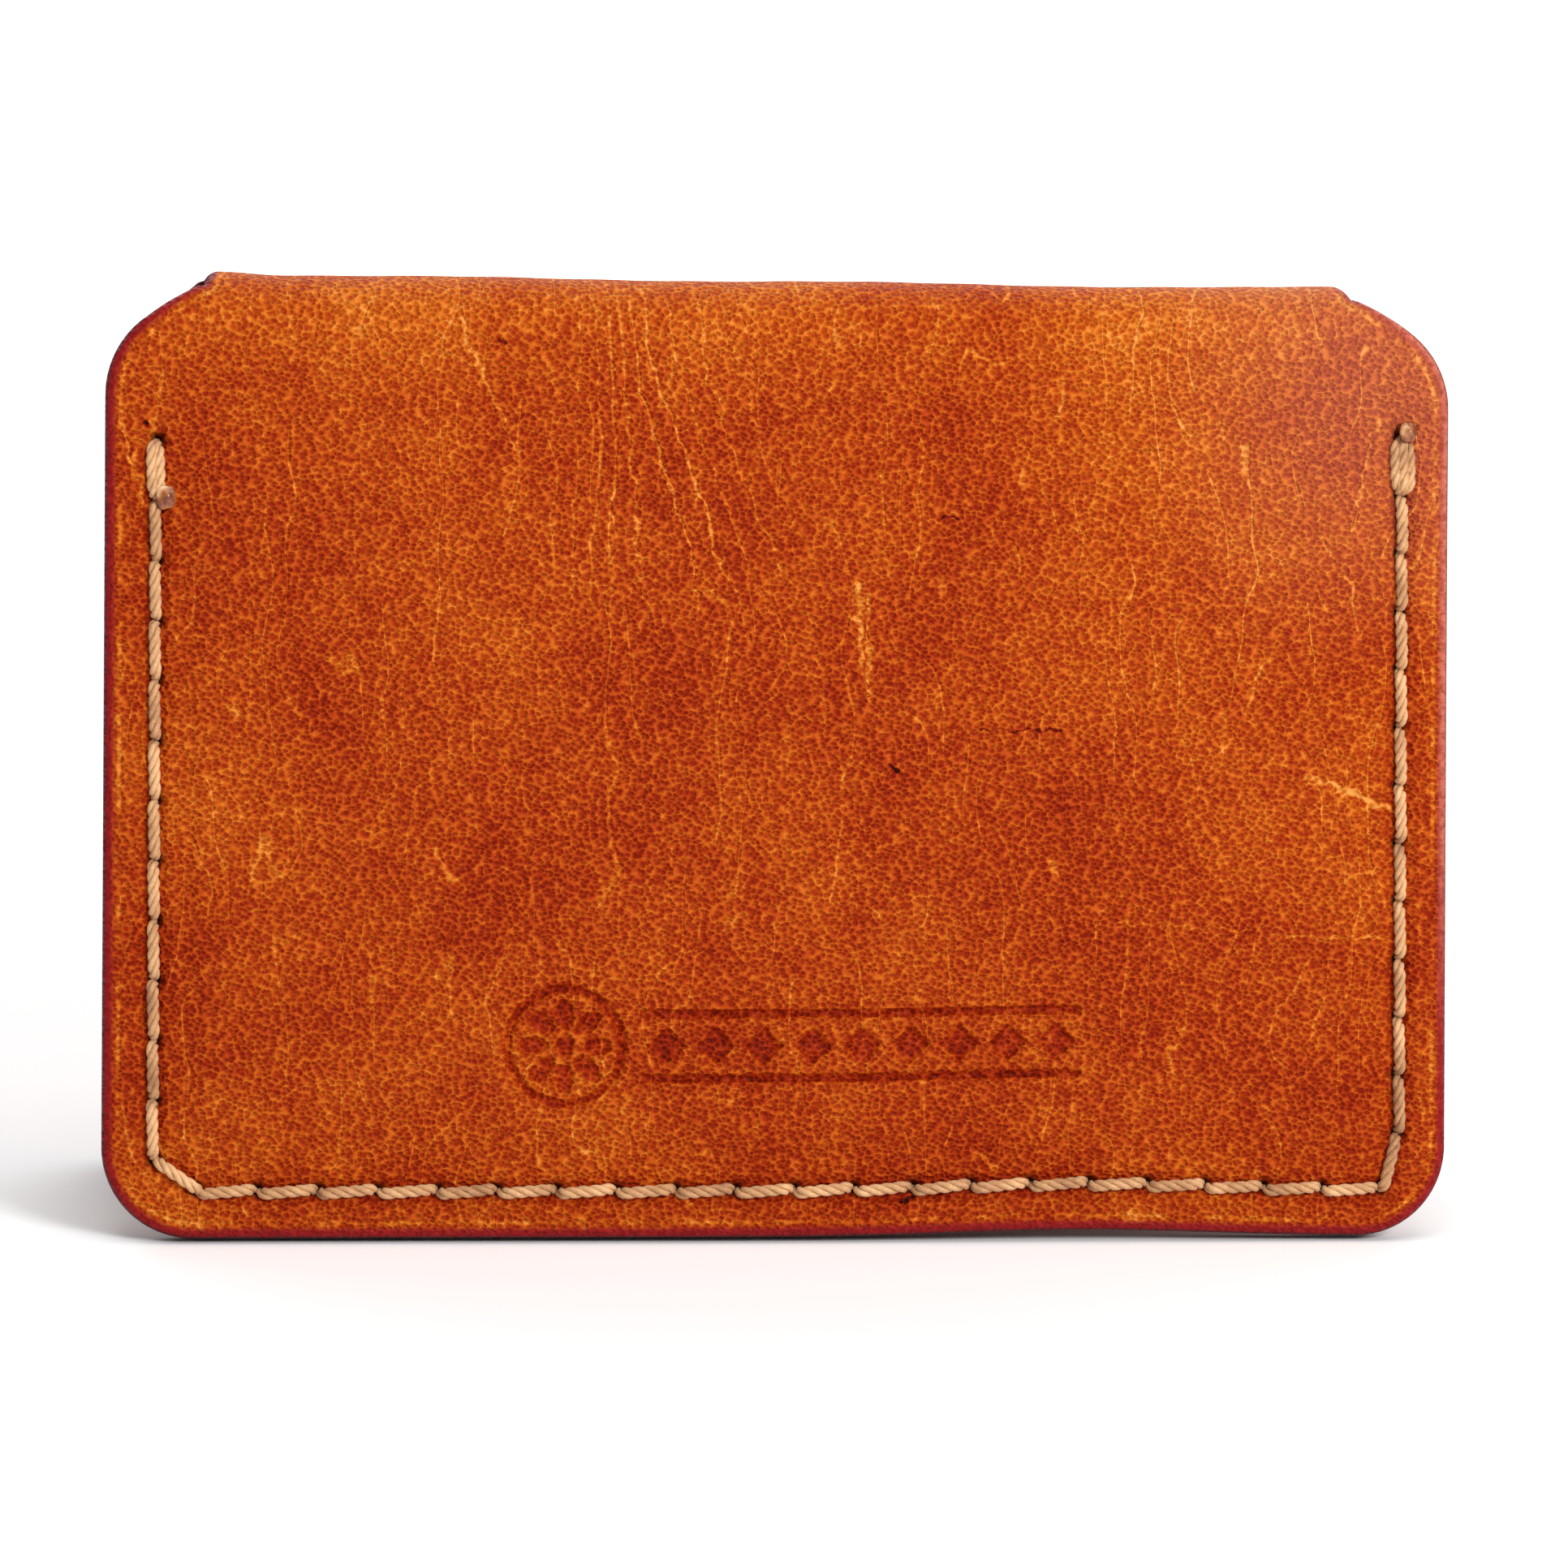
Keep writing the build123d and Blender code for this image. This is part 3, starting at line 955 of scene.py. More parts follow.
    lit_edge = node(
        tree,
        "ShaderNodeMath",
        {
            0: lit_edge,
            1: node(
                tree,
                "ShaderNodeMapRange",
                {"Value": flecks.outputs[0], "From Min": 0.36, "From Max": 0.6, "To Min": 0.35, "To Max": 0.85},
                interpolation_type="SMOOTHSTEP",
            ).outputs[0],
        },
        operation="MULTIPLY",
    ).outputs[0]
    colour = node(
        tree,
        "ShaderNodeMix",
        {0: lit_edge, 6: colour, 7: linear("#C57058")},
        data_type="RGBA",
    ).outputs[2]
    colour = node(
        tree,
        "ShaderNodeMix",
        {
            0: node(
                tree,
                "ShaderNodeMapRange",
                {"Value": rim, "From Min": 0.04, "From Max": 0.26, "To Min": 1.0, "To Max": 0.0},
                interpolation_type="SMOOTHSTEP",
            ).outputs[0],
            6: colour,
            7: linear("#4C0A16"),
        },
        data_type="RGBA",
    ).outputs[2]
    # Painted shade: the stitch holes and the leather just round them go near black
    colour = node(
        tree,
        "ShaderNodeMix",
        {0: hole_shade, 6: colour, 7: linear("#120402")},
        data_type="RGBA",
    ).outputs[2]

    rough = node(
        tree,
        "ShaderNodeMath",
        {0: patches.outputs[0], 1: 0.16, 2: 0.78 if flesh else 0.4},
        operation="MULTIPLY_ADD",
    ).outputs[0]
    rough = node(tree, "ShaderNodeMath", {0: rubbed, 1: -0.16, 2: rough}, operation="MULTIPLY_ADD").outputs[0]
    rough = node(
        tree,
        "ShaderNodeMath",
        {0: pressed, 1: -0.1, 2: rough},
        operation="MULTIPLY_ADD",
        use_clamp=True,
    ).outputs[0]

    relief = node(
        tree,
        "ShaderNodeMath",
        {0: dome, 1: -0.01 if flesh else -0.165},
        operation="MULTIPLY",
    ).outputs[0]
    relief = node(
        tree,
        "ShaderNodeMath",
        {0: group, 1: 0.005 if flesh else 0.05, 2: relief},
        operation="MULTIPLY_ADD",
    ).outputs[0]
    relief = node(
        tree,
        "ShaderNodeMath",
        {0: flecks.outputs[0], 1: 0.025 if flesh else 0.1, 2: relief},
        operation="MULTIPLY_ADD",
    ).outputs[0]
    relief = node(tree, "ShaderNodeMath", {0: lines, 1: -0.05, 2: relief}, operation="MULTIPLY_ADD").outputs[0]
    relief = node(tree, "ShaderNodeMath", {0: marks, 1: -0.1, 2: relief}, operation="MULTIPLY_ADD").outputs[0]
    relief = node(tree, "ShaderNodeMath", {0: pressed, 1: -0.14, 2: relief}, operation="MULTIPLY_ADD").outputs[0]
    rubbed_or_pressed = node(tree, "ShaderNodeMath", {0: rubbed, 1: pressed}, operation="MAXIMUM").outputs[0]
    relief = node(
        tree,
        "ShaderNodeMath",
        {
            0: relief,
            1: node(
                tree,
                "ShaderNodeMapRange",
                {"Value": rubbed_or_pressed, "From Min": 0.2, "From Max": 0.9, "To Min": 1.0, "To Max": 0.6},
                interpolation_type="SMOOTHSTEP",
            ).outputs[0],
        },
        operation="MULTIPLY",
    ).outputs[0]
    bump = node(tree, "ShaderNodeBump", {"Height": relief, "Distance": MM, "Strength": 1.0})
    tree.links.new(colour, shader.inputs["Base Color"])
    tree.links.new(rough, shader.inputs["Roughness"])
    tree.links.new(bump.outputs[0], shader.inputs["Normal"])
    shader.inputs["IOR"].default_value = 1.48
    shader.inputs["Specular IOR Level"].default_value = 0.06
    if flesh:
        shader.inputs["Sheen Weight"].default_value = 0.25
        shader.inputs["Sheen Roughness"].default_value = 0.6
    return material


def waxed_thread():
    """Three-ply waxed polyester thread, heat-set: a dull tan with darker valleys and a slight wax shine."""
    material, tree, shader = blank_material("waxed polyester thread")
    place = node(tree, "ShaderNodeTexCoord").outputs["Object"]
    fibre = node(tree, "ShaderNodeTexNoise", {"Vector": place, "Scale": 5200.0, "Detail": 2.0})
    stain = node(tree, "ShaderNodeTexNoise", {"Vector": place, "Scale": 260.0, "Detail": 3.0, "Roughness": 0.6})
    level = node(
        tree,
        "ShaderNodeMath",
        {0: fibre.outputs[0], 1: 0.35, 2: stain.outputs[0]},
        operation="MULTIPLY_ADD",
    ).outputs[0]
    colour = node(
        tree,
        "ShaderNodeValToRGB",
        {0: level},
        stops=[(0.38, "#8A5630"), (0.62, "#B98656"), (0.86, "#DCAC78")],
    ).outputs[0]
    bump = node(tree, "ShaderNodeBump", {"Height": fibre.outputs[0], "Distance": 0.00004, "Strength": 0.6})
    tree.links.new(colour, shader.inputs["Base Color"])
    tree.links.new(bump.outputs[0], shader.inputs["Normal"])
    shader.inputs["Roughness"].default_value = 0.55
    shader.inputs["Sheen Weight"].default_value = 0.2
    return material


def melted_thread():
    """The same thread melted with a flame to lock it: a hard brown bead, glossy like resin."""
    material, tree, shader = blank_material("melted thread end")
    place = node(tree, "ShaderNodeTexCoord").outputs["Object"]
    char = node(tree, "ShaderNodeTexNoise", {"Vector": place, "Scale": 900.0, "Detail": 2.0})
    colour = node(
        tree,
        "ShaderNodeValToRGB",
        {0: char.outputs[0]},
        stops=[(0.35, "#6A3018"), (0.52, "#A9683A"), (0.68, "#DDB084")],
    ).outputs[0]
    tree.links.new(colour, shader.inputs["Base Color"])
    shader.inputs["Roughness"].default_value = 0.25
    return material


def dried_cement():
    """Contact cement dried between the layers: an amber, slightly glossy rubber line."""
    material, tree, shader = blank_material("dried contact cement")
    place = node(tree, "ShaderNodeTexCoord").outputs["Object"]
    film = node(tree, "ShaderNodeTexNoise", {"Vector": place, "Scale": 700.0, "Detail": 3.0})
    colour = node(
        tree,
        "ShaderNodeValToRGB",
        {0: film.outputs[0]},
        stops=[(0.3, "#4E2412"), (0.7, "#7A4020")],
    ).outputs[0]
    bump = node(tree, "ShaderNodeBump", {"Height": film.outputs[0], "Distance": 0.00003})
    tree.links.new(colour, shader.inputs["Base Color"])
    tree.links.new(bump.outputs[0], shader.inputs["Normal"])
    shader.inputs["Roughness"].default_value = 0.4
    return material


# ---------------------------------------------------------------- camera, floor and light
centre = Vector((0.0, 0.0, (cad_box[0][2] + cad_box[1][2]) / 2))
AZIMUTH, ELEVATION, DISTANCE = math.radians(-6.0), math.radians(9.0), 0.45
ROLL = math.radians(1.24)
aim = Vector((0.0004, -0.006, 0.0324))
view_from = Vector((
    math.sin(AZIMUTH) * math.cos(ELEVATION), -math.cos(AZIMUTH) * math.cos(ELEVATION), math.sin(ELEVATION)
))
camera_data = bpy.data.cameras.new("camera")
camera_data.lens = 141.5
camera_data.sensor_width = 36.0
camera = bpy.data.objects.new("camera", camera_data)
bpy.context.scene.collection.objects.link(camera)
camera.location = aim + view_from * DISTANCE
camera.rotation_mode = "QUATERNION"
camera.rotation_quaternion = (-view_from).to_track_quat("-Z", "Y") @ Quaternion((0, 0, 1), ROLL)
bpy.context.scene.camera = camera
bpy.context.scene.view_settings.view_transform = "Standard"

bpy.ops.object.select_all(action="DESELECT")
bpy.ops.mesh.primitive_plane_add(size=9.0, location=(0, 0, 0))
floor = bpy.context.object
floor.name = "floor"
floor_material, floor_tree, floor_shader = blank_material("matt white paper")
floor_shader.inputs["Base Color"].default_value = linear("#FAFAFA")
floor_shader.inputs["Roughness"].default_value = 0.9
# The far floor glows a little, so that it stays as white as the floor by the object from every side
floor_place = node(floor_tree, "ShaderNodeTexCoord").outputs["Object"]
far = node(floor_tree, "ShaderNodeVectorMath", {0: floor_place}, operation="LENGTH").outputs["Value"]
glow = node(
    floor_tree,
    "ShaderNodeMapRange",
    {"Value": far, "From Min": 0.4, "From Max": 1.5, "To Min": 0.0, "To Max": 0.75},
    interpolation_type="SMOOTHSTEP",
).outputs[0]
floor_tree.links.new(glow, floor_shader.inputs["Emission Strength"])
floor_shader.inputs["Emission Color"].default_value = linear("#FFFFFF")
floor.data.materials.append(floor_material)


def soft_light(name, azimuth, elevation, distance, size, watts):
    """A square soft box that looks at the middle of the object."""
    lamp = bpy.data.lights.new(name, "AREA")
    lamp.energy = watts
    lamp.size = size
    holder = bpy.data.objects.new(name, lamp)
    bpy.context.scene.collection.objects.link(holder)
    a, e = math.radians(azimuth), math.radians(elevation)
    direction = Vector((math.sin(a) * math.cos(e), -math.cos(a) * math.cos(e), math.sin(e)))
    holder.location = centre + direction * distance
    holder.rotation_euler = direction.to_track_quat("Z", "Y").to_euler()


soft_light("key", 33.0, 27.0, 0.75, 0.24, 4.4)
soft_light("top", 10.0, 80.0, 1.0, 0.8, 5.0)
# A wide lamp over the far floor keeps it as white as the near one
backdrop = bpy.data.lights.new("backdrop", "AREA")
backdrop.energy = 75.0
backdrop.size = 3.6
backdrop_holder = bpy.data.objects.new("backdrop", backdrop)
bpy.context.scene.collection.objects.link(backdrop_holder)
backdrop_holder.location = (0.0, 2.5, 1.3)
ROOM_FILL = 0.30
world = bpy.data.worlds.new("studio")
bpy.context.scene.world = world
world.use_nodes = True
# The wall behind shows pure white, and fills the shadows at only part of that
seen = node(world.node_tree, "ShaderNodeLightPath").outputs["Is Camera Ray"]
strength = node(
    world.node_tree,
    "ShaderNodeMath",
    {0: seen, 1: 1.0 - ROOM_FILL, 2: ROOM_FILL},
    operation="MULTIPLY_ADD",
).outputs[0]
world.node_tree.links.new(strength, world.node_tree.nodes["Background"].inputs["Strength"])
world.node_tree.nodes["Background"].inputs["Color"].default_value = (1.0, 1.0, 1.0, 1.0)

# ---------------------------------------------------------------- the covers
cover_grain = leather("pull-up cowhide, grain side", REAR_SCARS, REAR_NICKS)
front_grain = leather("pull-up cowhide, front half", FRONT_SCARS, FRONT_NICKS)
flesh_side = leather("cowhide flesh side", flesh=True)
GRID_STEP = 0.56


def height_of(v):
    """Height above a half's bottom edge, up its own leather."""
    return hide_length - np.abs(v)


def ripples(x, v):
    """The slow swell of a hide that was wetted, folded and carried, in mm."""
    swell = np.sin(x * 0.21 + 0.7 * np.sin(v * 0.13)) * np.cos(v * 0.17 + 0.6 * np.sin(x * 0.11))
    fine = np.sin(x * 0.55 + 1.3 * np.sin(v * 0.31 + 1.0)) * np.sin(v * 0.43 + 1.1 * np.cos(x * 0.37))
    return 0.07 * swell + 0.035 * fine


def cover_relief(x, v, edge_gap, stamped):
    """The outside of a cover: seam pulled in, card pocket pressed through, creases, stamp."""
    height = height_of(v)
    line, hole = near_seam(x, height)
    relief = ripples(x, v) * smooth(edge_gap, 0.5, 4.0)
    relief = relief - 0.20 * np.exp(-((line / 0.62) ** 2)) + 0.07 * hump(line, 1.35, 0.6)
    relief = relief - 0.62 * np.exp(-((hole / 0.40) ** 2))
    in_pocket = smooth(edge_gap, 4.8, 7.6) * (1 - smooth(height, 54.0, 58.5))
    relief = relief + 0.24 * in_pocket
    relief = relief - 0.07 * hump(np.abs(x), 42.7, 0.30) * smooth(height, 12.0, 20.0) * (1 - smooth(height, 50, 57))
    relief = relief - 0.05 * hump(height, 56.4, 0.7) * (1 - smooth(np.abs(x), 38.0, 44.0))
    mask = np.zeros(len(x))
    if stamped:
        mask = stamp_mask(x, height)
        block = np.maximum(
            1 - smooth(np.hypot(x - ROSETTE_X, height - STAMP_ABOVE_EDGE), 4.6, 6.4),
            (1 - smooth(np.abs(x - BAND_X) - BAND_LENGTH / 2, 0.2, 1.8))
            * (1 - smooth(np.abs(height - STAMP_ABOVE_EDGE) - BAND_HEIGHT / 2, 0.2, 1.8)),
        )
        relief = relief - 0.06 * block - 0.26 * mask
    return relief, mask, line, hole


def finish_cover(piece, edge_points, stamped, roll_inside):
    """Rounds the edges, works in the relief, stores what the materials read and lays the piece over the fold."""
    points = read(piece)
    x, v = points[:, 0], points[:, 1]
    outside = points[:, 2] > 0
    gap = distance_to(points, edge_points)
    relief, mask, line, hole = cover_relief(x, v, gap, stamped)
    half = COVER_THICK / 2
    inner_roll = np.where(height_of(v) > POCKET_HEIGHT + 0.5, 0.7, 0.12) if roll_inside else np.full(len(x), 0.7)
    inner = -half + np.array([rolled(g, r) for g, r in zip(gap, inner_roll)])
    n = np.where(outside, half - rolled(gap, 0.74) + relief, inner)
    middles = face_middles(piece)
    outward = middles[:, 2] > -half * 0.9
    paint(piece, "hide", np.stack([x, height_of(v), points[:, 2]], axis=-1))
    paint(piece, "fan", fan_place(np.where(v < 0, x, 6.0 - x), height_of(v)))
    paint(piece, "rim", np.clip(gap, 0, 8))
    # Painted shade along both sides of the stitching, stored in pressed together with the stamp
    seam_shade = 0.55 * np.exp(-((line / 0.72) ** 2))
    paint(piece, "pressed", np.where(outside, np.clip(np.maximum(mask, seam_shade), 0, 1), 0.0))
    # The hole value paints shade into the stitch holes: the materials turn it near black
    paint(piece, "hole", np.where(outside, np.clip(1.3 * np.exp(-((hole / 0.50) ** 2)), 0, 1), 0.0))
    set_faces(piece, np.where(outward, 0, 1))
    write(piece, lay(x, v, n))
    select_only(piece)
    bpy.ops.object.shade_smooth_by_angle(angle=SMOOTH_ANGLE)


def flat_area(piece):
    """The area of a flat sheet, in square metres."""
    areas = np.zeros(len(piece.data.polygons))
    piece.data.polygons.foreach_get("area", areas)
    return float(areas.sum()) * MM * MM


def bend_between(piece):
    """Bakes a piece's transform into its mesh."""
    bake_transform(piece)


def make_cover(name, side, grain, stamped):
    """One half of the hide, from the fold's middle strip to its bottom edge. side is -1 at the rear, 1 in front."""
    foot = hide_length - FOOT_CUT
    from_foot = [foot - a for a in edge_lines(CORNER_RADIUS, GRID_STEP)]
    shoulder = SHOULDER_LINE + CORNER_RADIUS
    near_neck = [SHOULDER_LINE + a for a in edge_lines(CORNER_RADIUS, GRID_STEP)][::-1]
    neck = [SHOULDER_LINE - a for a in (0.08, 0.18, 0.3, 0.5, 0.75, 1.0, 1.2, 1.32)] + [middle_half]
    rows = from_foot + spread_down(from_foot[-1], shoulder) + near_neck[1:] + neck
    v_lines = sorted(side * s for s in rows)
    sheet = bench_sheet(name, across(GRID_STEP), v_lines)
    middles = face_middles(sheet)
    block = HALF_WIDTH - CORNER_RADIUS
    delete_faces(sheet, (np.abs(middles[:, 0]) > block) & (np.abs(middles[:, 1]) < SHOULDER_LINE))
    write(sheet, trim_outline(read(sheet)))
    edge_points = outline_of(sheet, lambda x, v: np.abs(v) > middle_half + 1e-4)
    area = flat_area(sheet)
    thicken(sheet, COVER_THICK)
    middles = face_middles(sheet)
    line, hole = near_seam(middles[:, 0], height_of(middles[:, 1]))
    outer = middles[:, 2] > COVER_THICK / 2 * 0.9
    subdivide_faces(sheet, outer & (line < 1.15), 1)
    middles = face_middles(sheet)
    line, hole = near_seam(middles[:, 0], height_of(middles[:, 1]))
    outer = middles[:, 2] > COVER_THICK / 2 * 0.9
    subdivide_faces(sheet, outer & (hole < 0.75), 1)
    if stamped:
        middles = face_middles(sheet)
        outer = middles[:, 2] > COVER_THICK / 2 * 0.9
        up = np.abs(height_of(middles[:, 1]) - STAMP_ABOVE_EDGE)
        in_ring = np.hypot(middles[:, 0] - ROSETTE_X, up) < ROSETTE_RADIUS + 0.5
        in_band = (np.abs(middles[:, 0] - BAND_X) < BAND_LENGTH / 2 + 0.5) & (up < BAND_HEIGHT / 2 + 0.5)
        subdivide_faces(sheet, outer & (in_ring | in_band), 3)
    for material in (grain, flesh_side):
        sheet.data.materials.append(material)
    finish_cover(sheet, edge_points, stamped, True)
    return sheet, area


def spread_down(high, low):
    """Grid lines from high down to low, both left out."""
    return spread(low, high, GRID_STEP)[1:-1][::-1]


def make_middle():
    """The crown of the fold, between the two halves."""
    rows = spread(-middle_half + 0.12, middle_half - 0.12, 0.2)
    v_lines = [-middle_half, -middle_half + 0.05] + rows + [middle_half - 0.05, middle_half]
    block = HALF_WIDTH - CORNER_RADIUS
    x_lines = [x for x in across(GRID_STEP) if abs(x) < block + 1e-6]
    sheet = bench_sheet("leather_fold", x_lines, v_lines)
    write(sheet, trim_outline(read(sheet)))
    edge_points = outline_of(sheet, lambda x, v: np.abs(v) < middle_half - 1e-4)
    thicken(sheet, COVER_THICK)
    for material in (cover_grain, flesh_side):
        sheet.data.materials.append(material)
    finish_cover(sheet, edge_points, False, False)
    return sheet


rear_cover, rear_area = make_cover("leather_rear", -1, cover_grain, True)
fold_crown = make_middle()
front_cover, front_area = make_cover("leather_front", 1, front_grain, False)
bend_between(rear_cover)
bend_between(fold_crown)
bend_between(front_cover)
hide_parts("cover_rear")
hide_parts("fold_strip_1", "fold_strip_2")
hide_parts("cover_front")

# ---------------------------------------------------------------- the card pockets and their cement
mouth_line = hide_length - POCKET_HEIGHT
POCKET_TOP = -(COVER_THICK / 2 + CEMENT_THICK)


def raised(edge_gap):
    """How far the moulded card space stands in from the sewn rim, in mm."""
    return SLOT_DEPTH * smooth(edge_gap, 4.5, 5.7)


def pocket_rows(side):
    """The grid's lines up a pocket, from its bottom edge to its mouth."""
    foot = hide_length - FOOT_CUT
    from_foot = [foot - a for a in edge_lines(CORNER_RADIUS, GRID_STEP)]
    to_mouth = [mouth_line + a for a in edge_lines(3.0, GRID_STEP)][::-1]
    rows = from_foot + spread_down(from_foot[-1], to_mouth[0]) + to_mouth
    return sorted(side * s for s in rows)


def notch_lines():
    """The grid's lines across a pocket, with more of them where the thumb notch is steep."""
    base = [x for x in across(GRID_STEP) if abs(abs(x) - NOTCH_HALF_WIDTH) > 1.6]
    steep = [9.0, 9.4, 9.7, 9.88, 9.97, 10.0, 10.15, 10.5, 11.0]
    return sorted(base + steep + [-x for x in steep])


def cut_notch(points):
    """Lowers the mouth's middle into a half-ellipse for the thumb."""
    x, v = points[:, 0], points[:, 1]
    s = np.abs(v)
    share = np.clip(1 - (x / NOTCH_HALF_WIDTH) ** 2, 0, 1)
    drop = NOTCH_DEPTH * np.sqrt(share)
    reach = 24.0
    left = np.clip(1 - (s - mouth_line) / reach, 0, 1)
    new_s = s + drop * left
    points[:, 1] = np.where(v < 0, -new_s, new_s)
    return points


def make_pocket(name, side, grain, flesh):
    """A pocket of thinner leather, moulded over a card block, its grain towards the inside of the tent."""
    sheet = bench_sheet(name, notch_lines(), pocket_rows(side))
    write(sheet, trim_outline(read(sheet)))
    rim_points = outline_of(sheet, lambda x, v: height_of(v) < POCKET_HEIGHT - 0.01)
    write(sheet, cut_notch(read(sheet)))
    edge_points = outline_of(sheet, lambda x, v: np.abs(x) < 99)
    area = flat_area(sheet)
    thicken(sheet, POCKET_THICK)
    points = read(sheet)
    x, v = points[:, 0], points[:, 1]
    toward_cover = points[:, 2] > 0
    gap = distance_to(points, edge_points)
    rim = distance_to(points, rim_points)
    height = height_of(v)
    line, hole = near_seam(x, height)
    back = POCKET_TOP - raised(rim)
    face = back - POCKET_THICK - ripples(x * 0.9 + 7.0, v) * smooth(gap, 0.5, 4.0)
    face = face + 0.20 * np.exp(-((line / 0.62) ** 2)) + 0.5 * np.exp(-((hole / 0.42) ** 2))
    edge_lip = 0.05 * smooth(gap, 0.9, 1.3) - 0.05
    below_mouth = height < POCKET_HEIGHT - 1
    by_mouth = (height >= POCKET_HEIGHT - 1 - NOTCH_DEPTH) * (rim > 3.0)
    hidden = back - rolled(gap, 0.10) * below_mouth - rolled(gap, 0.45) * by_mouth
    n = np.where(toward_cover, hidden, face + rolled(gap, 0.66) - edge_lip)
    middles = face_middles(sheet)
    set_faces(sheet, np.where(middles[:, 2] > POCKET_THICK / 2 * 0.9, 1, 0))
    paint(sheet, "hide", np.stack([x + POCKET_SHIFT, height, points[:, 2]], axis=-1))
    paint(sheet, "rim", np.clip(gap, 0, 8))
    # Painted shade along both sides of the stitching, stored in pressed
    paint(sheet, "pressed", np.where(toward_cover, 0.0, 0.5 * np.exp(-((line / 0.72) ** 2))))
    # The hole value paints shade into the pocket's stitch holes: the materials turn it near black
    paint(sheet, "hole", np.where(toward_cover, 0.0, np.clip(1.3 * np.exp(-((hole / 0.50) ** 2)), 0, 1)))
    for material in (grain, flesh):
        sheet.data.materials.append(material)
    write(sheet, lay(x, v, n))
    select_only(sheet)
    bpy.ops.object.shade_smooth_by_angle(angle=SMOOTH_ANGLE)
    return sheet, area


def make_cement(name, side, material):
    """The thin band of cement that holds a pocket's rim to its cover."""
    sheet = bench_sheet(name, across(1.1), pocket_rows(side))
    write(sheet, trim_outline(read(sheet)))
    rim_points = outline_of(sheet, lambda x, v: height_of(v) < POCKET_HEIGHT - 0.01)
    middles = face_middles(sheet)
    delete_faces(sheet, distance_to(middles, rim_points) > CEMENT_BAND)
    thicken(sheet, CEMENT_THICK)
    points = read(sheet)
    gap = distance_to(points, rim_points)
    n = np.where(points[:, 2] > 0, -COVER_THICK / 2 - CEMENT_CLEAR, POCKET_TOP + CEMENT_CLEAR)
    scale = 1 - CEMENT_INSET / HALF_WIDTH * (gap < 0.05)
    write(sheet, lay(points[:, 0] * scale, points[:, 1], n))
    sheet.data.materials.append(material)
    return sheet


pocket_grain = leather("pull-up cowhide, pocket grain", tone=-0.03)
cement_film = dried_cement()
bodies = {-1: ("rear", "rear_half", rear_cover), 1: ("front", "front_half", front_cover)}
for side, (half_name, body, cover) in bodies.items():
    pocket, pocket_area = make_pocket("card_pocket_" + half_name, side, pocket_grain, flesh_side)
    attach(pocket, body)
    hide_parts("pocket_" + half_name)
    glue = make_cement("cement_band_" + half_name, side, cement_film)
    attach(glue, body)
    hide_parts("cement_" + half_name)

# ---------------------------------------------------------------- the stitching
STRAND_RADIUS = 0.222
STRAND_OFFSET = 0.232
TWIST_PITCH = 2.7
STITCH_POINTS = 26
HOLE_GAP = 0.42


def strand_paths(start, end, surface, outward, slant, bare, aside, lift, turn):
    """The three plies of one stitch, as rows of (x, height, n), from one hole to the next."""
    (x0, h0), (x1, h1) = start, end
    along = np.array([x1 - x0, h1 - h0])
    length = float(np.hypot(*along))
    along = along / length
    sideways = np.array([-along[1], along[0]])
    step = np.linspace(0, math.pi, STITCH_POINTS)
    share = (1 - np.cos(step)) / 2
    ends = np.abs(2 * share - 1)
    place = np.outer(bare[0] + share * (length - sum(bare)), along) + np.array([x0, h0])
    place = place + np.outer((share * 2 - 1) * slant + aside * (1 - ends ** 6), sideways)
    depth = surface(place[:, 1]) + outward * (0.26 + lift)
    depth = depth - outward * 1.35 * ends ** 11
    path = np.column_stack([place, depth])
    tangent = np.gradient(path, axis=0)
    tangent /= np.linalg.norm(tangent, axis=1, keepdims=True)
    level = np.array([sideways[0], sideways[1], 0.0])
    third = np.cross(tangent, level)
    run = np.concatenate([[0], np.cumsum(np.linalg.norm(np.diff(path, axis=0), axis=1))])
    plies = []
    for ply in range(3):
        angle = turn + 2 * math.pi * (run / TWIST_PITCH + ply / 3)
        offset = np.outer(np.cos(angle), level) + np.sin(angle)[:, None] * third
        plies.append(path + offset * STRAND_OFFSET)
    return plies


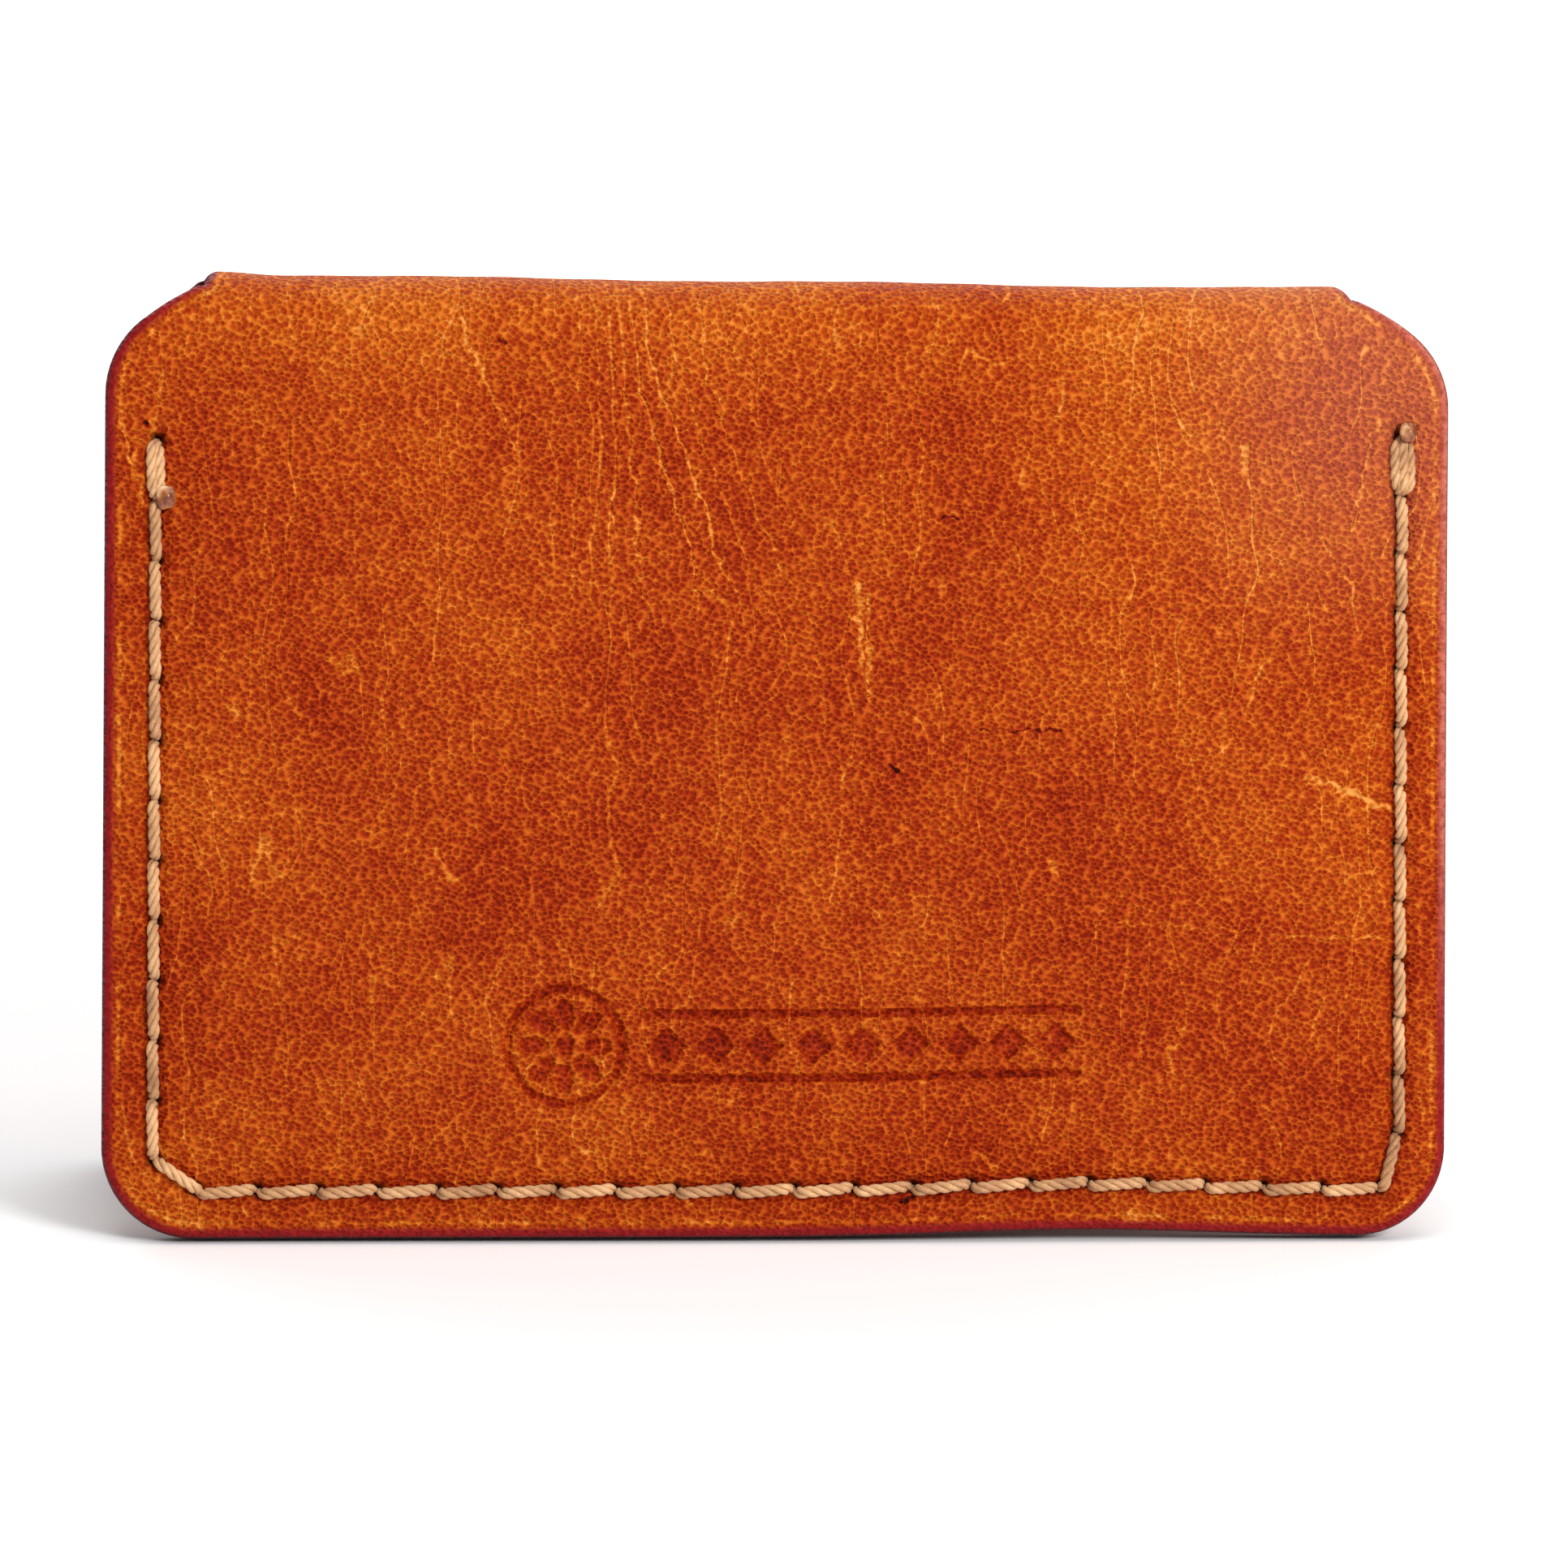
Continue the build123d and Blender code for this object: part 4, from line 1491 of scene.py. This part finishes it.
def make_thread(name, side, material):
    """Saddle stitching round one half: a twisted stitch outside and one inside between every two holes."""
    def outer_face(height):
        return np.full(len(height), COVER_THICK / 2 - 0.10)

    def inner_face(height):
        rim = POCKET_TOP - POCKET_THICK + 0.12
        return np.where(height > POCKET_HEIGHT + 0.15, -COVER_THICK / 2, rim)

    curve = bpy.data.curves.new(name, "CURVE")
    curve.dimensions = "3D"
    curve.bevel_depth = STRAND_RADIUS * MM
    curve.bevel_resolution = 1
    curve.use_fill_caps = True
    last = len(holes) - 2
    for index in range(len(holes) - 1):
        start, end = holes[index], holes[index + 1]
        on_bottom = SIDE_STITCHES < index < SIDE_STITCHES + BOTTOM_STITCHES + 1
        slant = 0.17 if on_bottom else 0.06
        bare = (HOLE_GAP, 0.05) if index <= SIDE_STITCHES else (0.05, HOLE_GAP)
        turns = {0: 2, last: 3}.get(index, 1)
        for turn in range(turns):
            aside = (turn - (turns - 1) / 2) * 0.50
            lift = 0.05 * math.sin(index * 2.3 + turn) + (0.12 if turns == 3 and turn == 1 else 0.0)
            for surface, outward in ((outer_face, 1.0), (inner_face, -1.0)):
                for path in strand_paths(start, end, surface, outward, slant, bare, aside, lift, index + turn):
                    spline = curve.splines.new("POLY")
                    spline.points.add(len(path) - 1)
                    v = side * (hide_length - path[:, 1])
                    places = lay(path[:, 0], v, path[:, 2])
                    rows = np.column_stack([places, np.ones(len(path))])
                    spline.points.foreach_set("co", rows.ravel())
    thread = bpy.data.objects.new(name, curve)
    bpy.context.scene.collection.objects.link(thread)
    select_only(thread)
    bpy.ops.object.convert(target="MESH")
    thread = bpy.context.object
    thread.data.materials.clear()
    thread.data.materials.append(material)
    bpy.ops.object.shade_smooth()
    return thread


def make_bead(name, side, hole, radius, flatten, material):
    """A thread end cut short and melted down on to its hole."""
    bpy.ops.object.select_all(action="DESELECT")
    bpy.ops.mesh.primitive_ico_sphere_add(subdivisions=4, radius=1.0, location=(0, 0, 0))
    bead = bpy.context.object
    bead.name = name
    bead.data.name = name
    points = read(bead)
    lumps = 1 + 0.10 * np.sin(points[:, 0] * 4.1 + 1.0) * np.cos(points[:, 1] * 3.3)
    lumps = lumps + 0.07 * np.sin(points[:, 2] * 5.7)
    points = points * lumps[:, None] * radius
    x = hole[0] + points[:, 0]
    height = hole[1] + points[:, 1] * 1.25
    v = side * (hide_length - height)
    n = COVER_THICK / 2 + 0.42 + points[:, 2] * flatten
    write(bead, lay(x, v, n))
    bead.data.materials.append(material)
    select_only(bead)
    if side > 0:
        bpy.ops.object.mode_set(mode="EDIT")
        bpy.ops.mesh.select_all(action="SELECT")
        bpy.ops.mesh.normals_make_consistent(inside=False)
        bpy.ops.object.mode_set(mode="OBJECT")
    bpy.ops.object.shade_smooth()
    return bead


thread_finish = waxed_thread()
bead_finish = melted_thread()
for side, (half_name, body, cover) in bodies.items():
    thread = make_thread("stitching_" + half_name, side, thread_finish)
    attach(thread, body)
    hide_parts("thread_" + half_name)
    ends = ((holes[1] + np.array([0.75, 0.0]), 0.70, 0.7), (holes[-1] + np.array([0.30, 0.15]), 0.62, 0.9))
    for number, (hole, radius, flatten) in enumerate(ends):
        bead = make_bead(f"thread_end_{half_name}_{number + 1}", side, hole, radius, flatten, bead_finish)
        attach(bead, body)
